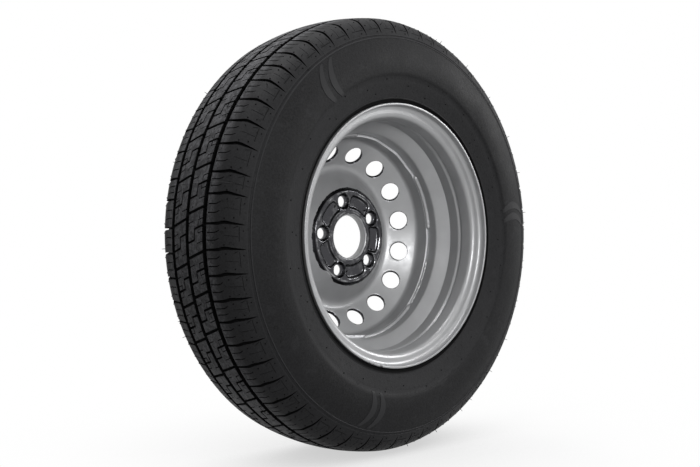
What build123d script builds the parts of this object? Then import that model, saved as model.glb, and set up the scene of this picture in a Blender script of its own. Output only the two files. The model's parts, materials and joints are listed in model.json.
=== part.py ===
from build123d import *
import os
from math import cos, degrees, hypot, radians, sin, sqrt, tan

# A pressed steel trailer wheel with a commercial radial tyre and a snap-in valve, in millimetres.
# The wheel's centre is the origin, its axis is Y and +Z is up. The inboard side, which bolts to the
# hub, faces -Y. Outlines are drawn as (radius, place along Y) and turned about the Y axis, and angles
# round the wheel go from +X towards +Z.

# Rim, a rolled section with a drop centre
RIM_WIDTH = 139.7            # between the flanges
RIM_SHEET = 3.0
BEAD_SEAT_R = 177.4
BEAD_SEAT_WIDTH = 19.8
BEAD_SEAT_TAPER = 5.0        # degrees
FLANGE_HEIGHT = 17.5         # above the bead seat
FLANGE_REACH = 14.5          # from the flange's upright wall to its curled edge
FLANGE_RADIUS = 9.5
HUMP_HEIGHT = 1.6
HUMP_LENGTH = 7.0
LEDGE_LENGTH = 12.0          # level stretch between the inboard hump and the long slope
WELL_DEPTH = 17.4            # below the bead seat
WELL_WALL_RUN = 12.0         # axial run of the short outboard wall
WELL_INBOARD_Y = 1.0         # where the well floor meets the long inboard slope

# Disc, pressed from one sheet and welded into the well
DISC_SHEET = 4.0
WHEEL_OFFSET = 30.0          # hub face to the rim's middle plane
HUB_BORE_R = 33.3
COLLAR_DEPTH = 12.0
COLLAR_RADIUS = 4.0
PAD_R = 72.0
PAD_RADIUS = 5.0
HUB_CONE_ANGLE = 45.0
VALLEY_RADIUS = 12.0
VENT_CONE_ANGLE = 41.0
VENT_INSET = 21.9            # vent centres, inside the disc's flange
VENT_SETBACK = 17.2          # vent centres, outboard of the hub face
VENT_D = 29.0
VENT_COUNT = 16
VENT_TURN = 12.3
SHOULDER_RADIUS = 9.0
DISC_EDGE_Y = 7.0
DISC_GAP = 0.1               # drawn clearance between disc and well
EDGE_DIP = 4.0               # how far the disc's free edge dips between the welds
DIP_MARGIN_ANGLE = 4.0       # between a dip and the next weld

# Bolt holes and the pressed pockets between them
BOLT_CIRCLE_D = 112.0
BOLT_COUNT = 5
BOLT_TURN = 103.3
BOLT_HOLE_D = 16.5
DISH_R = 12.5
DISH_DEPTH = 6.0
DISH_FLOOR_R = 9.4
SEAT_MOUTH_D = 19.5
SEAT_ANGLE = 60.0            # included angle of the bolt seat
POCKET_INNER_R = 45.0
POCKET_OUTER_R = 64.0
POCKET_ANGLE = 42.0
POCKET_DEPTH = 4.0

# Welds, as arcs round the disc's free edge
WELD_ANGLES = [(4.0, 40.0), (78.0, 122.0), (166.0, 214.0), (272.0, 330.0)]
WELD_LEG = 4.5
WELD_CROWN = 0.6

# Tyre
TYRE_OD = 650.0
TYRE_WIDTH = 188.0
BEAD_CLEARANCE = 0.3
CROWN_RADIUS = 298.0
TREAD_INSET = 36.0           # tread's edge, in from the widest place
KNEE_INSET = 25.0            # where the tread rolls over into the shoulder
KNEE_DROP = 11.2             # below the crown
SHOULDER_INSET = 17.0
SHOULDER_DROP = 19.0
BUTTRESS_INSET = 6.0
BUTTRESS_DROP = 41.0
WIDEST_HEIGHT = 77.6         # above the bead seat
UPPER_BULGE = 1.0
LOWER_INSET = 9.5
LOWER_HEIGHT = 28.0          # above the bead seat
LOWER_BULGE = 2.0
CROWN_THICKNESS = 13.5
SIDEWALL_THICKNESS = 9.5
BEAD_THICKNESS = 17.5

# Tread pattern, with pitch lengths mixed to break up the noise
GROOVE_DEPTH = 7.6
CENTRE_GROOVE_WIDTH = 6.0
OUTER_GROOVE_WIDTH = 7.0
OUTER_GROOVE_Y = 35.6
SLOT_WIDTH = 3.4
SLOT_DEPTH = 6.4
SLOT_SKEW = 17.5
CENTRE_PITCHES = "SLMMMMSSMMLMSMLLMSMMLSMMLMMSLMSMMLM"
CENTRE_UNITS = {"S": 9, "M": 10, "L": 11}
CENTRE_TURN = 122.9          # first slot of the inboard rib
CENTRE_RIB_SHIFT = 2.85      # outboard rib against the inboard one
NOTCH_WIDTH = 3.2
NOTCH_DEPTH = 5.6
NOTCH_LENGTH = 12.0          # on the tread, before it rolls over the knee
SHOULDER_PITCHES = "LMMMSSMMMLSLMMMSMMMMSLMLLSMMSLMMMLSMMSMLMMMSLMMMMSMLLMMSMSMM"
SHOULDER_UNITS = {"S": 6, "M": 7, "L": 8}
SHOULDER_TURN = 105.0        # first notch of the inboard shoulder
SHOULDER_SHIFT = 1.5         # outboard shoulder against the inboard one

# Snap-in valve on the well's outboard wall
VALVE_TURN = 202.5
VALVE_HOLE_D = 11.5
VALVE_GAP = 0.1
VALVE_SEAT_GAP = 0.3         # rubber to the curved wall
VALVE_HEAD_R = 8.4
VALVE_HEAD_HEIGHT = 5.5
VALVE_HEAD_CHAMFER = 1.4
VALVE_SHOULDER_R = 6.9
VALVE_SHOULDER_HEIGHT = 4.0
VALVE_NECK_R = 5.2
VALVE_NECK_HEIGHT = 15.0     # rubber above the shoulder
STEM_R = 3.85
STEM_FOOT_R = 5.0
STEM_FOOT_HEIGHT = 1.6
STEM_LENGTH = 13.0           # bare brass above the rubber
STEM_BORE_R = 2.0
CORE_R = 2.6
CORE_LENGTH = 9.0
CORE_SINK = 0.8              # below the stem's mouth
CORE_WALL = 0.8
CORE_WEB = 1.0
CORE_FIT = 0.05
CORE_SEAL_HEIGHT = 1.8
PIN_R = 0.55
PIN_FIT = 0.08
PIN_SINK = 0.3               # pin tip below the stem's mouth
PIN_COLLAR_R = 1.3
PIN_COLLAR_HEIGHT = 0.7
PIN_SEAL_HEIGHT = 1.4
SPRING_WIRE = 0.34
SPRING_TURNS = 3
CAP_FIT = 0.3
CAP_WALL = 1.2
CAP_SKIRT = 10.5             # how far the cap reaches down the stem
CAP_SEAL_HEIGHT = 1.0

# Worked-out places
HALF_RIM = RIM_WIDTH / 2
FLANGE_R = BEAD_SEAT_R + FLANGE_HEIGHT
SEAT_END_Y = HALF_RIM - BEAD_SEAT_WIDTH
SEAT_END_R = BEAD_SEAT_R - BEAD_SEAT_WIDTH * tan(radians(BEAD_SEAT_TAPER))
HUMP_END_Y = SEAT_END_Y - HUMP_LENGTH
WELL_R = BEAD_SEAT_R - WELL_DEPTH
WELL_OUTBOARD_Y = HUMP_END_Y - WELL_WALL_RUN
WELL_INNER_R = WELL_R - RIM_SHEET
DISC_FLANGE_R = WELL_INNER_R - DISC_GAP - DISC_SHEET
VENT_CIRCLE_R = DISC_FLANGE_R - VENT_INSET
TYRE_R = TYRE_OD / 2
HALF_TYRE = TYRE_WIDTH / 2
TREAD_Y = HALF_TYRE - TREAD_INSET
KNEE = (TYRE_R - KNEE_DROP, HALF_TYRE - KNEE_INSET)
SHOULDER = (TYRE_R - SHOULDER_DROP, HALF_TYRE - SHOULDER_INSET)
BUTTRESS = (TYRE_R - BUTTRESS_DROP, HALF_TYRE - BUTTRESS_INSET)
BOLT_CIRCLE_R = BOLT_CIRCLE_D / 2
DISC_OUTER_Y = WHEEL_OFFSET + DISC_SHEET


def turned(outline, arc=360.0):
    """Turn a flat outline about the wheel's axis."""
    return revolve(outline, axis=Axis.Y, revolution_arc=arc)


def around(angle, solid):
    """Carry a solid from the +X side to an angle round the wheel."""
    return Rot(0, -angle, 0) * solid


def ring_sector(inner_r, outer_r, low_y, high_y, span):
    """A block of a ring, with its middle on the +X side."""
    corners = [(inner_r, low_y), (outer_r, low_y), (outer_r, high_y), (inner_r, high_y)]
    return around(span / 2, turned(make_face(Polyline(*corners, close=True)), span))


def pitch_angles(letters, units, start):
    """Angles of the pitch starts round the tyre, from a row of short, middle and long pitches."""
    unit = 360.0 / sum(units[letter] for letter in letters)
    angles = [start]
    for letter in letters[:-1]:
        angles.append(angles[-1] + unit * units[letter])
    return angles


def flange_side(sign):
    """The tyre side of one flange, bead seat and hump, from the curled edge to the hump's foot."""
    return [
        (FLANGE_R, sign * (HALF_RIM + FLANGE_REACH)),
        (FLANGE_R, sign * HALF_RIM),
        (BEAD_SEAT_R, sign * HALF_RIM),
        (SEAT_END_R, sign * SEAT_END_Y),
        (SEAT_END_R + HUMP_HEIGHT, sign * (SEAT_END_Y - HUMP_LENGTH / 2)),
        (SEAT_END_R, sign * HUMP_END_Y),
    ]


def valve_axis():
    """The valve's foot and direction in the wall's own (radius, Y) plane: square to the well's wall."""
    rise = SEAT_END_R - WELL_R
    run = HUMP_END_Y - WELL_OUTBOARD_Y
    length = hypot(rise, run)
    foot = ((SEAT_END_R + WELL_R) / 2, (HUMP_END_Y + WELL_OUTBOARD_Y) / 2)
    return foot, (-run / length, rise / length)


def valve_plane():
    """A plane on the tyre side of the well's wall, with its Z axis along the valve."""
    (foot_r, foot_y), (lean, out) = valve_axis()
    c, s = cos(radians(VALVE_TURN)), sin(radians(VALVE_TURN))
    return Plane(origin=(foot_r * c, foot_y, foot_r * s), x_dir=(-s, 0, c), z_dir=(lean * c, out, lean * s))


def lathe(*outline):
    """A valve piece, turned from (radius, height) points and set on the valve's axis."""
    section = make_face(Polyline(*[(r, 0, h) for r, h in outline], close=True))
    return valve_plane() * revolve(section, axis=Axis.Z)


def make_rim():
    """Rolled sheet from flange to flange, with the valve hole."""
    outboard, inboard = flange_side(1), flange_side(-1)
    well = [(WELL_R, WELL_OUTBOARD_Y), (WELL_R, WELL_INBOARD_Y), (SEAT_END_R, LEDGE_LENGTH - HUMP_END_Y)]
    path = Wire([
        *FilletPolyline(*outboard[:3], radius=FLANGE_RADIUS).edges(),
        *Polyline(*outboard[2:], *well, *reversed(inboard[2:])).edges(),
        *FilletPolyline(*reversed(inboard[:3]), radius=FLANGE_RADIUS).edges(),
    ])
    sheet = offset(path, amount=RIM_SHEET, side=Side.RIGHT, kind=Kind.INTERSECTION)
    hole = valve_plane() * Cylinder(VALVE_HOLE_D / 2, 4 * RIM_SHEET)
    return turned(make_face(sheet)) - hole


def disc_path():
    """The disc's inboard face, from the mouth of the bore collar to the free edge of its flange."""
    vent_slope = tan(radians(VENT_CONE_ANGLE))
    hub_slope = tan(radians(HUB_CONE_ANGLE))
    vent_y = WHEEL_OFFSET + VENT_SETBACK
    valley_r = (VENT_SETBACK + VENT_CIRCLE_R * vent_slope + PAD_R * hub_slope) / (vent_slope + hub_slope)
    return FilletPolyline(
        (HUB_BORE_R, WHEEL_OFFSET + COLLAR_DEPTH),
        (HUB_BORE_R, WHEEL_OFFSET),
        (PAD_R, WHEEL_OFFSET),
        (valley_r, WHEEL_OFFSET + (valley_r - PAD_R) * hub_slope),
        (DISC_FLANGE_R, vent_y - VENT_INSET * vent_slope),
        (DISC_FLANGE_R, DISC_EDGE_Y),
        radius=[COLLAR_RADIUS, PAD_RADIUS, VALLEY_RADIUS, SHOULDER_RADIUS],
    )


def bolt_angles():
    return [BOLT_TURN + 360.0 / BOLT_COUNT * i for i in range(BOLT_COUNT)]


def along_y(solid, radius, y, angle):
    """Stand a solid drawn along Z on a circle round the wheel, with its Z axis turned to +Y."""
    return around(angle, Pos(radius, y, 0) * Rot(-90, 0, 0) * solid)


def bolt_boss(angle):
    """The sheet pressed outboard round one bolt hole."""
    height = DISH_DEPTH + DISC_SHEET / 2
    boss = Cone(DISH_R + DISC_SHEET, DISH_FLOOR_R + DISC_SHEET, height)
    return along_y(boss, BOLT_CIRCLE_R, WHEEL_OFFSET + DISC_SHEET / 2 + height / 2, angle)


def bolt_cuts(angle):
    """The dish on the hub side, the hole and the coned bolt seat on the outboard side."""
    boss_y = DISC_OUTER_Y + DISH_DEPTH
    seat_r = SEAT_MOUTH_D / 2
    seat_depth = (seat_r - BOLT_HOLE_D / 2) / tan(radians(SEAT_ANGLE / 2))
    dish = Cone(DISH_R, DISH_FLOOR_R, DISH_DEPTH)
    hole = Cylinder(BOLT_HOLE_D / 2, 2 * (DISH_DEPTH + DISC_SHEET))
    seat = Cone(BOLT_HOLE_D / 2, seat_r, seat_depth)
    return [
        along_y(dish, BOLT_CIRCLE_R, WHEEL_OFFSET + DISH_DEPTH / 2, angle),
        along_y(hole, BOLT_CIRCLE_R, DISC_OUTER_Y, angle),
        along_y(seat, BOLT_CIRCLE_R, boss_y - seat_depth / 2, angle),
    ]


def make_disc():
    """Pressed disc with bore collar, embossed pockets, bolt holes, vents and a dipping free edge."""
    disc = turned(make_face(offset(disc_path(), amount=DISC_SHEET, side=Side.LEFT)))
    half_pitch = 180.0 / BOLT_COUNT
    wall_turn = 2 * degrees(DISC_SHEET / BOLT_CIRCLE_R)
    for angle in bolt_angles():
        emboss = ring_sector(
            POCKET_INNER_R - DISC_SHEET, POCKET_OUTER_R + DISC_SHEET,
            WHEEL_OFFSET + DISC_SHEET / 2, DISC_OUTER_Y + POCKET_DEPTH, POCKET_ANGLE + wall_turn)
        disc += [bolt_boss(angle), around(angle + half_pitch, emboss)]
    cuts = []
    for angle in bolt_angles():
        pocket = ring_sector(
            POCKET_INNER_R, POCKET_OUTER_R, WHEEL_OFFSET, WHEEL_OFFSET + POCKET_DEPTH, POCKET_ANGLE)
        cuts += bolt_cuts(angle) + [around(angle + half_pitch, pocket)]
    vent = Cylinder(VENT_D / 2, 8 * DISC_SHEET)
    vent_place = Pos(VENT_CIRCLE_R, WHEEL_OFFSET + VENT_SETBACK, 0) * Rot(-90, 0, -VENT_CONE_ANGLE)
    cuts += [around(VENT_TURN + 360.0 / VENT_COUNT * i, vent_place * vent) for i in range(VENT_COUNT)]
    for (_, end), (start, _) in zip(WELD_ANGLES, WELD_ANGLES[1:] + [(WELD_ANGLES[0][0] + 360.0, 0.0)]):
        span = start - end - 2 * DIP_MARGIN_ANGLE
        dip = ring_sector(PAD_R, WELL_R, DISC_EDGE_Y - EDGE_DIP, DISC_EDGE_Y + EDGE_DIP, span)
        cuts.append(around((end + start) / 2, dip))
    return disc - cuts


def make_welds():
    """Fillet welds between the disc's free edge and the well, one arc to each span."""
    corner_r = WELL_INNER_R - DISC_GAP
    corner_y = DISC_EDGE_Y - DISC_GAP
    toe = (corner_r, corner_y - WELD_LEG)
    root = (corner_r - WELD_LEG, corner_y)
    section = make_face([Line(toe, (corner_r, corner_y)), Line((corner_r, corner_y), root),
                         SagittaArc(root, toe, WELD_CROWN)])
    return Compound(children=[around(start, turned(section, -(end - start))) for start, end in WELD_ANGLES])


def crown_r(y, depth=0.0):
    """Radius of the crown, or of a curve that runs at a depth under it."""
    return TYRE_R - CROWN_RADIUS + sqrt((CROWN_RADIUS - depth) ** 2 - y ** 2)


def bead_outline():
    """The bead's outer face, clear of the curled flange and the seat, from the lip to the toe."""
    curl = FLANGE_RADIUS + BEAD_CLEARANCE
    curl_r, curl_y = FLANGE_R - FLANGE_RADIUS, HALF_RIM + FLANGE_RADIUS
    tangent = curl * tan(radians(22.5))
    seat_slope = tan(radians(BEAD_SEAT_TAPER))
    toe_y = SEAT_END_Y + HUMP_HEIGHT
    return [
        (curl_r + curl, curl_y),
        (curl_r + curl, curl_y - tangent),
        (curl_r + tangent, curl_y - curl),
        (BEAD_SEAT_R + BEAD_CLEARANCE, curl_y - curl),
        (BEAD_SEAT_R + BEAD_CLEARANCE - (HALF_RIM - toe_y) * seat_slope, toe_y),
    ]


def tyre_section():
    """The casing's section: one half from the crown round the bead to the inside, and its mirror image."""
    widest = (BEAD_SEAT_R + WIDEST_HEIGHT, HALF_TYRE)
    lower = (BEAD_SEAT_R + LOWER_HEIGHT, HALF_TYRE - LOWER_INSET)
    crown = [(crown_r(y), y) for y in (0, OUTER_GROOVE_Y, TREAD_Y)]
    inside = [
        (lower[0], lower[1] - BEAD_THICKNESS),
        (widest[0], widest[1] - SIDEWALL_THICKNESS),
        (crown_r(TREAD_Y, CROWN_THICKNESS), TREAD_Y),
        (TYRE_R - CROWN_THICKNESS, 0),
    ]
    half = [
        *Polyline(*crown, KNEE, SHOULDER, BUTTRESS).edges(),
        SagittaArc(BUTTRESS, widest, UPPER_BULGE),
        SagittaArc(widest, lower, LOWER_BULGE),
        *Polyline(lower, *bead_outline(), *inside).edges(),
    ]
    return make_face(half + [mirror(edge, about=Plane.XZ) for edge in half])


def groove_ring(y, width):
    """One groove right round the crown."""
    floor_r = crown_r(y) - GROOVE_DEPTH
    section = Pos(floor_r + GROOVE_DEPTH, y) * Rectangle(2 * GROOVE_DEPTH, width)
    return turned(section)


def rib_slots():
    """Skewed slots that cut each of the two middle ribs into blocks."""
    reach = OUTER_GROOVE_Y
    length = reach / cos(radians(SLOT_SKEW))
    middle_r = crown_r(reach / 2)
    slot = Pos(middle_r, 0, 0) * Rot(SLOT_SKEW, 0, 0) * Box(2 * SLOT_DEPTH, length, SLOT_WIDTH)
    slots = []
    for angle in pitch_angles(CENTRE_PITCHES, CENTRE_UNITS, CENTRE_TURN):
        slots.append(around(angle, Pos(0, -reach / 2, 0) * slot))
        slots.append(around(angle + CENTRE_RIB_SHIFT, Pos(0, reach / 2, 0) * slot))
    return slots


def shoulder_notches():
    """Notches across both shoulders, running out on the buttress."""
    clear_r = TYRE_R + GROOVE_DEPTH
    start_y = TREAD_Y - NOTCH_LENGTH
    run_out = ((SHOULDER[0] + BUTTRESS[0]) / 2, (SHOULDER[1] + BUTTRESS[1]) / 2)
    outline = make_face(Polyline(
        (clear_r, start_y),
        (crown_r(start_y) - NOTCH_DEPTH / 2, start_y),
        (KNEE[0] - NOTCH_DEPTH, KNEE[1]),
        run_out,
        (clear_r, TYRE_WIDTH),
        close=True))
    notch = extrude(outline, amount=NOTCH_WIDTH / 2, both=True)
    inboard = mirror(notch, about=Plane.XZ)
    notches = []
    for angle in pitch_angles(SHOULDER_PITCHES, SHOULDER_UNITS, SHOULDER_TURN):
        notches.append(around(angle, inboard))
        notches.append(around(angle + SHOULDER_SHIFT, notch))
    return notches


def make_tyre():
    """Hollow casing with grooves round it, skewed slots in the middle ribs and notched shoulders."""
    rings = [groove_ring(0, CENTRE_GROOVE_WIDTH)]
    rings += [groove_ring(sign * OUTER_GROOVE_Y, OUTER_GROOVE_WIDTH) for sign in (-1, 1)]
    return turned(tyre_section()) - rings - rib_slots() - shoulder_notches()


# Heights along the valve, from the tyre side of the well's wall outwards
SHOULDER_LOW = RIM_SHEET + VALVE_SEAT_GAP
NECK_LOW = SHOULDER_LOW + VALVE_SHOULDER_HEIGHT
NECK_TOP = NECK_LOW + VALVE_NECK_HEIGHT
STEM_TOP = NECK_TOP + STEM_LENGTH
STEM_FOOT = -VALVE_HEAD_HEIGHT
CORE_TOP = STEM_TOP - CORE_SINK
CORE_FOOT = CORE_TOP - CORE_LENGTH
PIN_TOP = STEM_TOP - PIN_SINK
COLLAR_TOP = CORE_TOP - CORE_WEB - CORE_FIT
SPRING_LOW = CORE_FOOT + CORE_WEB + CORE_FIT
SPRING_TOP = COLLAR_TOP - PIN_COLLAR_HEIGHT - CORE_FIT
PIN_SEAL_TOP = CORE_FOOT - CORE_FIT
PIN_FOOT = PIN_SEAL_TOP - PIN_SEAL_HEIGHT


def make_valve_body():
    """Moulded rubber: a head inside the tyre, a groove for the wall and a tapering neck."""
    bore_r = STEM_R + VALVE_GAP
    foot_r = STEM_FOOT_R + VALVE_GAP
    foot_top = STEM_FOOT + STEM_FOOT_HEIGHT + VALVE_GAP
    groove_r = VALVE_HOLE_D / 2 - VALVE_GAP
    head_edge_r = VALVE_HEAD_R - VALVE_HEAD_CHAMFER
    return lathe(
        (foot_r, STEM_FOOT), (head_edge_r, STEM_FOOT), (VALVE_HEAD_R, STEM_FOOT + VALVE_HEAD_CHAMFER),
        (VALVE_HEAD_R, -VALVE_SEAT_GAP), (groove_r, -VALVE_SEAT_GAP), (groove_r, SHOULDER_LOW),
        (VALVE_SHOULDER_R, SHOULDER_LOW), (VALVE_SHOULDER_R, NECK_LOW), (VALVE_NECK_R, NECK_TOP),
        (bore_r, NECK_TOP), (bore_r, foot_top), (foot_r, foot_top))


def make_valve_stem():
    """Brass tube with a flanged foot, bored for the core and open right through."""
    core_r = CORE_R + CORE_FIT
    seat = CORE_FOOT - CORE_SEAL_HEIGHT
    foot_top = STEM_FOOT + STEM_FOOT_HEIGHT
    return lathe(
        (STEM_BORE_R, STEM_FOOT), (STEM_FOOT_R, STEM_FOOT), (STEM_FOOT_R, foot_top), (STEM_R, foot_top),
        (STEM_R, STEM_TOP), (core_r, STEM_TOP), (core_r, seat), (STEM_BORE_R, seat))


def make_core_barrel():
    """Threaded plug that holds the spring, with a web at each end for the pin."""
    pin_hole = PIN_R + PIN_FIT
    cavity_r = CORE_R - CORE_WALL
    barrel = lathe((pin_hole, CORE_FOOT), (CORE_R, CORE_FOOT), (CORE_R, CORE_TOP), (pin_hole, CORE_TOP))
    low, top = CORE_FOOT + CORE_WEB, CORE_TOP - CORE_WEB
    cavity = lathe((0, low), (cavity_r, low), (cavity_r, top), (0, top))
    return barrel - cavity


def make_core_seal():
    """Sealing ring between the barrel's foot and the step in the stem."""
    top = CORE_FOOT - CORE_FIT
    low = CORE_FOOT - CORE_SEAL_HEIGHT + CORE_FIT
    return lathe((STEM_BORE_R, low), (CORE_R, low), (CORE_R, top), (STEM_BORE_R, top))


def make_core_pin():
    """Pin with the collar that the spring lifts."""
    collar_low = COLLAR_TOP - PIN_COLLAR_HEIGHT
    return lathe((0, PIN_FOOT), (PIN_R, PIN_FOOT), (PIN_R, collar_low), (PIN_COLLAR_R, collar_low),
                 (PIN_COLLAR_R, COLLAR_TOP), (PIN_R, COLLAR_TOP), (PIN_R, PIN_TOP), (0, PIN_TOP))


def make_pin_seal():
    """Rubber washer on the pin's foot that closes against the barrel."""
    hole = PIN_R + CORE_FIT
    seal_r = STEM_BORE_R - VALVE_SEAT_GAP
    return lathe((hole, PIN_FOOT), (seal_r, PIN_FOOT), (seal_r, PIN_SEAL_TOP), (hole, PIN_SEAL_TOP))


def make_core_spring():
    """Coil spring between the barrel's lower web and the pin's collar."""
    coil_r = (PIN_R + PIN_FIT + CORE_R - CORE_WALL) / 2
    low, top = SPRING_LOW + SPRING_WIRE, SPRING_TOP - SPRING_WIRE
    helix = Helix(pitch=(top - low) / SPRING_TURNS, height=top - low, radius=coil_r)
    wire = sweep(Plane(helix @ 0, z_dir=helix % 0) * Rectangle(SPRING_WIRE, SPRING_WIRE), path=helix)
    return valve_plane() * Pos(0, 0, low) * wire


def make_cap():
    """Screw cap over the bare stem, with room under its top for the seal."""
    inner_r = STEM_R + CAP_FIT
    outer_r = inner_r + CAP_WALL
    low = STEM_TOP - CAP_SKIRT
    ceiling = STEM_TOP + CAP_FIT + CAP_SEAL_HEIGHT
    top = ceiling + CAP_WALL
    return lathe((inner_r, low), (outer_r, low), (outer_r, top - CAP_WALL), (outer_r - CAP_WALL, top),
                 (0, top), (0, ceiling), (inner_r, ceiling))


def make_cap_seal():
    """Rubber disc under the cap's top."""
    low = STEM_TOP + CAP_FIT
    top = low + CAP_SEAL_HEIGHT - CORE_FIT
    return lathe((0, low), (STEM_R, low), (STEM_R, top), (0, top))


PIECES = {
    "tyre": make_tyre,
    "rim": make_rim,
    "wheel_disc": make_disc,
    "disc_welds": make_welds,
    "valve_body": make_valve_body,
    "valve_stem": make_valve_stem,
    "valve_core_barrel": make_core_barrel,
    "valve_core_seal": make_core_seal,
    "valve_core_pin": make_core_pin,
    "valve_pin_seal": make_pin_seal,
    "valve_core_spring": make_core_spring,
    "valve_cap": make_cap,
    "valve_cap_seal": make_cap_seal,
}

os.makedirs("parts", exist_ok=True)
for name, make in PIECES.items():
    export_step(make(), f"parts/{name}.step")
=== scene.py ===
import json
from bisect import bisect_right
from math import atan2, cos, degrees, hypot, pi, radians, sin, tan, tau

import bmesh
import bpy
from bpy.props import FloatProperty, FloatVectorProperty, PointerProperty
from mathutils import Matrix, Vector, noise
from mathutils.geometry import interpolate_bezier


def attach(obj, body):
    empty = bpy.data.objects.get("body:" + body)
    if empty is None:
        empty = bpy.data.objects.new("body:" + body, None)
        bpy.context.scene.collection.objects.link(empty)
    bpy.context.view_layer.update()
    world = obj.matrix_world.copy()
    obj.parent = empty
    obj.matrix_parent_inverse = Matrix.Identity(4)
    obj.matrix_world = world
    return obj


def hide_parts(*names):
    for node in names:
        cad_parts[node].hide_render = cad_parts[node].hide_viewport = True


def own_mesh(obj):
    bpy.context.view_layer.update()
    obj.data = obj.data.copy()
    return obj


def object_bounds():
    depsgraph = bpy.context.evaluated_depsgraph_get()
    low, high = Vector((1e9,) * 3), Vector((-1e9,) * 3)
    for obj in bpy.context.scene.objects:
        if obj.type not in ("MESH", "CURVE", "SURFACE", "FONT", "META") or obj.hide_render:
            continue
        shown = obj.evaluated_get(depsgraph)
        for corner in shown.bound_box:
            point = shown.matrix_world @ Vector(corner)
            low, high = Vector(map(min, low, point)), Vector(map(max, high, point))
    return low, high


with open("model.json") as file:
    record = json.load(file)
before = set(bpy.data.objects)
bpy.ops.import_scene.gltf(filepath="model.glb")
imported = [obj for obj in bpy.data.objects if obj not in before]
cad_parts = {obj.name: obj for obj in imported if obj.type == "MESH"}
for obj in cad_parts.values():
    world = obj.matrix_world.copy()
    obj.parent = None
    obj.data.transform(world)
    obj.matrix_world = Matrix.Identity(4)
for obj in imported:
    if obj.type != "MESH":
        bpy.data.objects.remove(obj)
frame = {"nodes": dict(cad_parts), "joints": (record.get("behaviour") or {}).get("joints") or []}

bl_info = {
    "name": "Trailer Wheel",
    "version": (1, 0, 0),
    "blender": (4, 5, 0),
    "location": "View3D > Sidebar > Trailer Wheel",
    "description": "Models a vented steel trailer wheel with its tyre and valve round a fixed frame",
    "category": "Object",
}

# Shapes are drawn in millimetres round the wheel's axis, Y, and scaled to metres when a piece is finished.
# Angles run from +X towards +Z. The inboard side, towards the hub, is -Y.
MM = 0.001
NEAR = 1e-4                  # how close two places on a flat tile count as the same
CAD_BOX = [list(corner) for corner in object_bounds()]
TYRE_R = 325.0
FLOOR_Z = CAD_BOX[0][2]

# Tyre: the crown is an arc, and the places beyond it are (radius, half width).
CROWN_RADIUS = 298.0
CROWN_HALF = 58.0
SHOULDER_LINE = [(313.8, 69.0), (306.0, 77.2), (296.0, 83.0), (289.0, 86.2), (283.0, 88.2)]
# The edge of the tread, by the distance along the line from the crown's centre: its recess and ridge as
# (distance, height), and the painted highlight lines along it as (distance, reach, strength).
TREAD_EDGE = 97.0
WALL_START = 98.4
EDGE_STEP = [(98.9, -0.7), (101.6, -0.8), (102.2, 0.5), (103.1, 0.6), (103.6, 0.0)]
EDGE_HIGHLIGHTS = [(97.8, 0.8, 0.45), (102.6, 1.5, 0.7)]
UPPER_WALL = [(284.6, 87.7), (276.0, 90.3), (266.0, 92.6), (254.0, 94.0), (243.0, 93.7), (234.2, 92.5)]
LOWER_WALL = [(232.8, 91.3), (226.0, 89.9), (217.0, 87.1), (208.0, 84.4), (203.0, 83.0)]
BEAD_LIP = [(202.4, 83.5), (200.6, 83.4), (199.8, 82.2), (197.4, 81.2), (195.7, 80.4)]
BEAD_CURL = [(195.2, 79.35), (194.45, 75.6), (192.33, 72.42), (189.15, 70.3), (185.4, 69.55)]
BEAD_SEAT = [(178.6, 69.55), (177.6, 68.6), (176.1, 51.65), (177.2, 50.6)]
LINER = [
    (188.0, 57.0), (205.4, 67.0), (228.0, 76.6), (255.0, 84.0), (281.0, 79.6), (300.0, 65.5), (309.0, 34.0)]
LINER_CROWN = (311.5, 0.0)

# Rubber: the spans of radius, in metres, over which its tone changes.
RUBBER_GLOSS = 0.085
# Painted shade on the bead where it meets the rim.
SEAT_SHADE_SPAN = (0.2028, 0.2004)
BAND_SPAN = (0.2336, 0.2322)
TREAD_SPAN = (0.284, 0.292)
# The crown's painted sheen.
CROWN_SHEEN_SPAN = (0.3195, 0.3225)

# Tread: pitches run short, middle and long round the tyre, as on the solid.
RIB_PITCHES = "SLMMMMSSMMLMSMLLMSMMLSMMLMMSLMSMMLM"
RIB_UNITS = {"S": 9, "M": 10, "L": 11}
RIB_TURN = 122.9
RIB_SHIFT = 2.85
RIB_SKEW = 1.67 / 30.0       # degrees round for each millimetre across
RIB_MIDDLE = 17.55
RIB_TILE = (0.8, 34.8)       # from near the middle of the centre groove to near that of the outer one
RIB_EDGES = (3.9, 30.8)
# The stepped cut beside the slot: half widths of its legs, and the rows of the step and of the fine sipes.
LEG_HALF = 1.5
STEP_HALF = 1.6
STEP_ROWS = (14.8, 17.1)
STEP_RISE = 1.2              # how much shallower the stepped cut is than the slot
FINE_ROWS = (22.6, 24.0)
SHOULDER_PITCHES = "LMMMSSMMMLSLMMMSMMMMSLMLLSMMSLMMMLSMMSMLMMMSLMMMMSMLLMMSMSMM"
SHOULDER_UNITS = {"S": 6, "M": 7, "L": 8}
SHOULDER_TURN = 105.0
SHOULDER_SHIFT = 1.5
SHOULDER_START = 36.4        # the shoulder's tile starts in the outer groove
SHOULDER_EDGE = 39.2
CROSS_HALF = 1.8
CROSS_END = 96.0             # where the cross grooves run out
CROSS_DEPTH = 5.6
SIPE_HALF = 0.7
SIPE_ROWS = (40.4, 61.0)
LINE_ROWS = (87.3, 88.3)
LINE_DEPTH = 0.6
TICK = 4.4                   # how far round from each cross groove its slanted tick lies
TICK_HALF = 0.4
TICK_ROWS = (79.8, 86.6)
FULLY_SUNK = 5.0             # the depth from which a hollow counts as fully sunk
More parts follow.
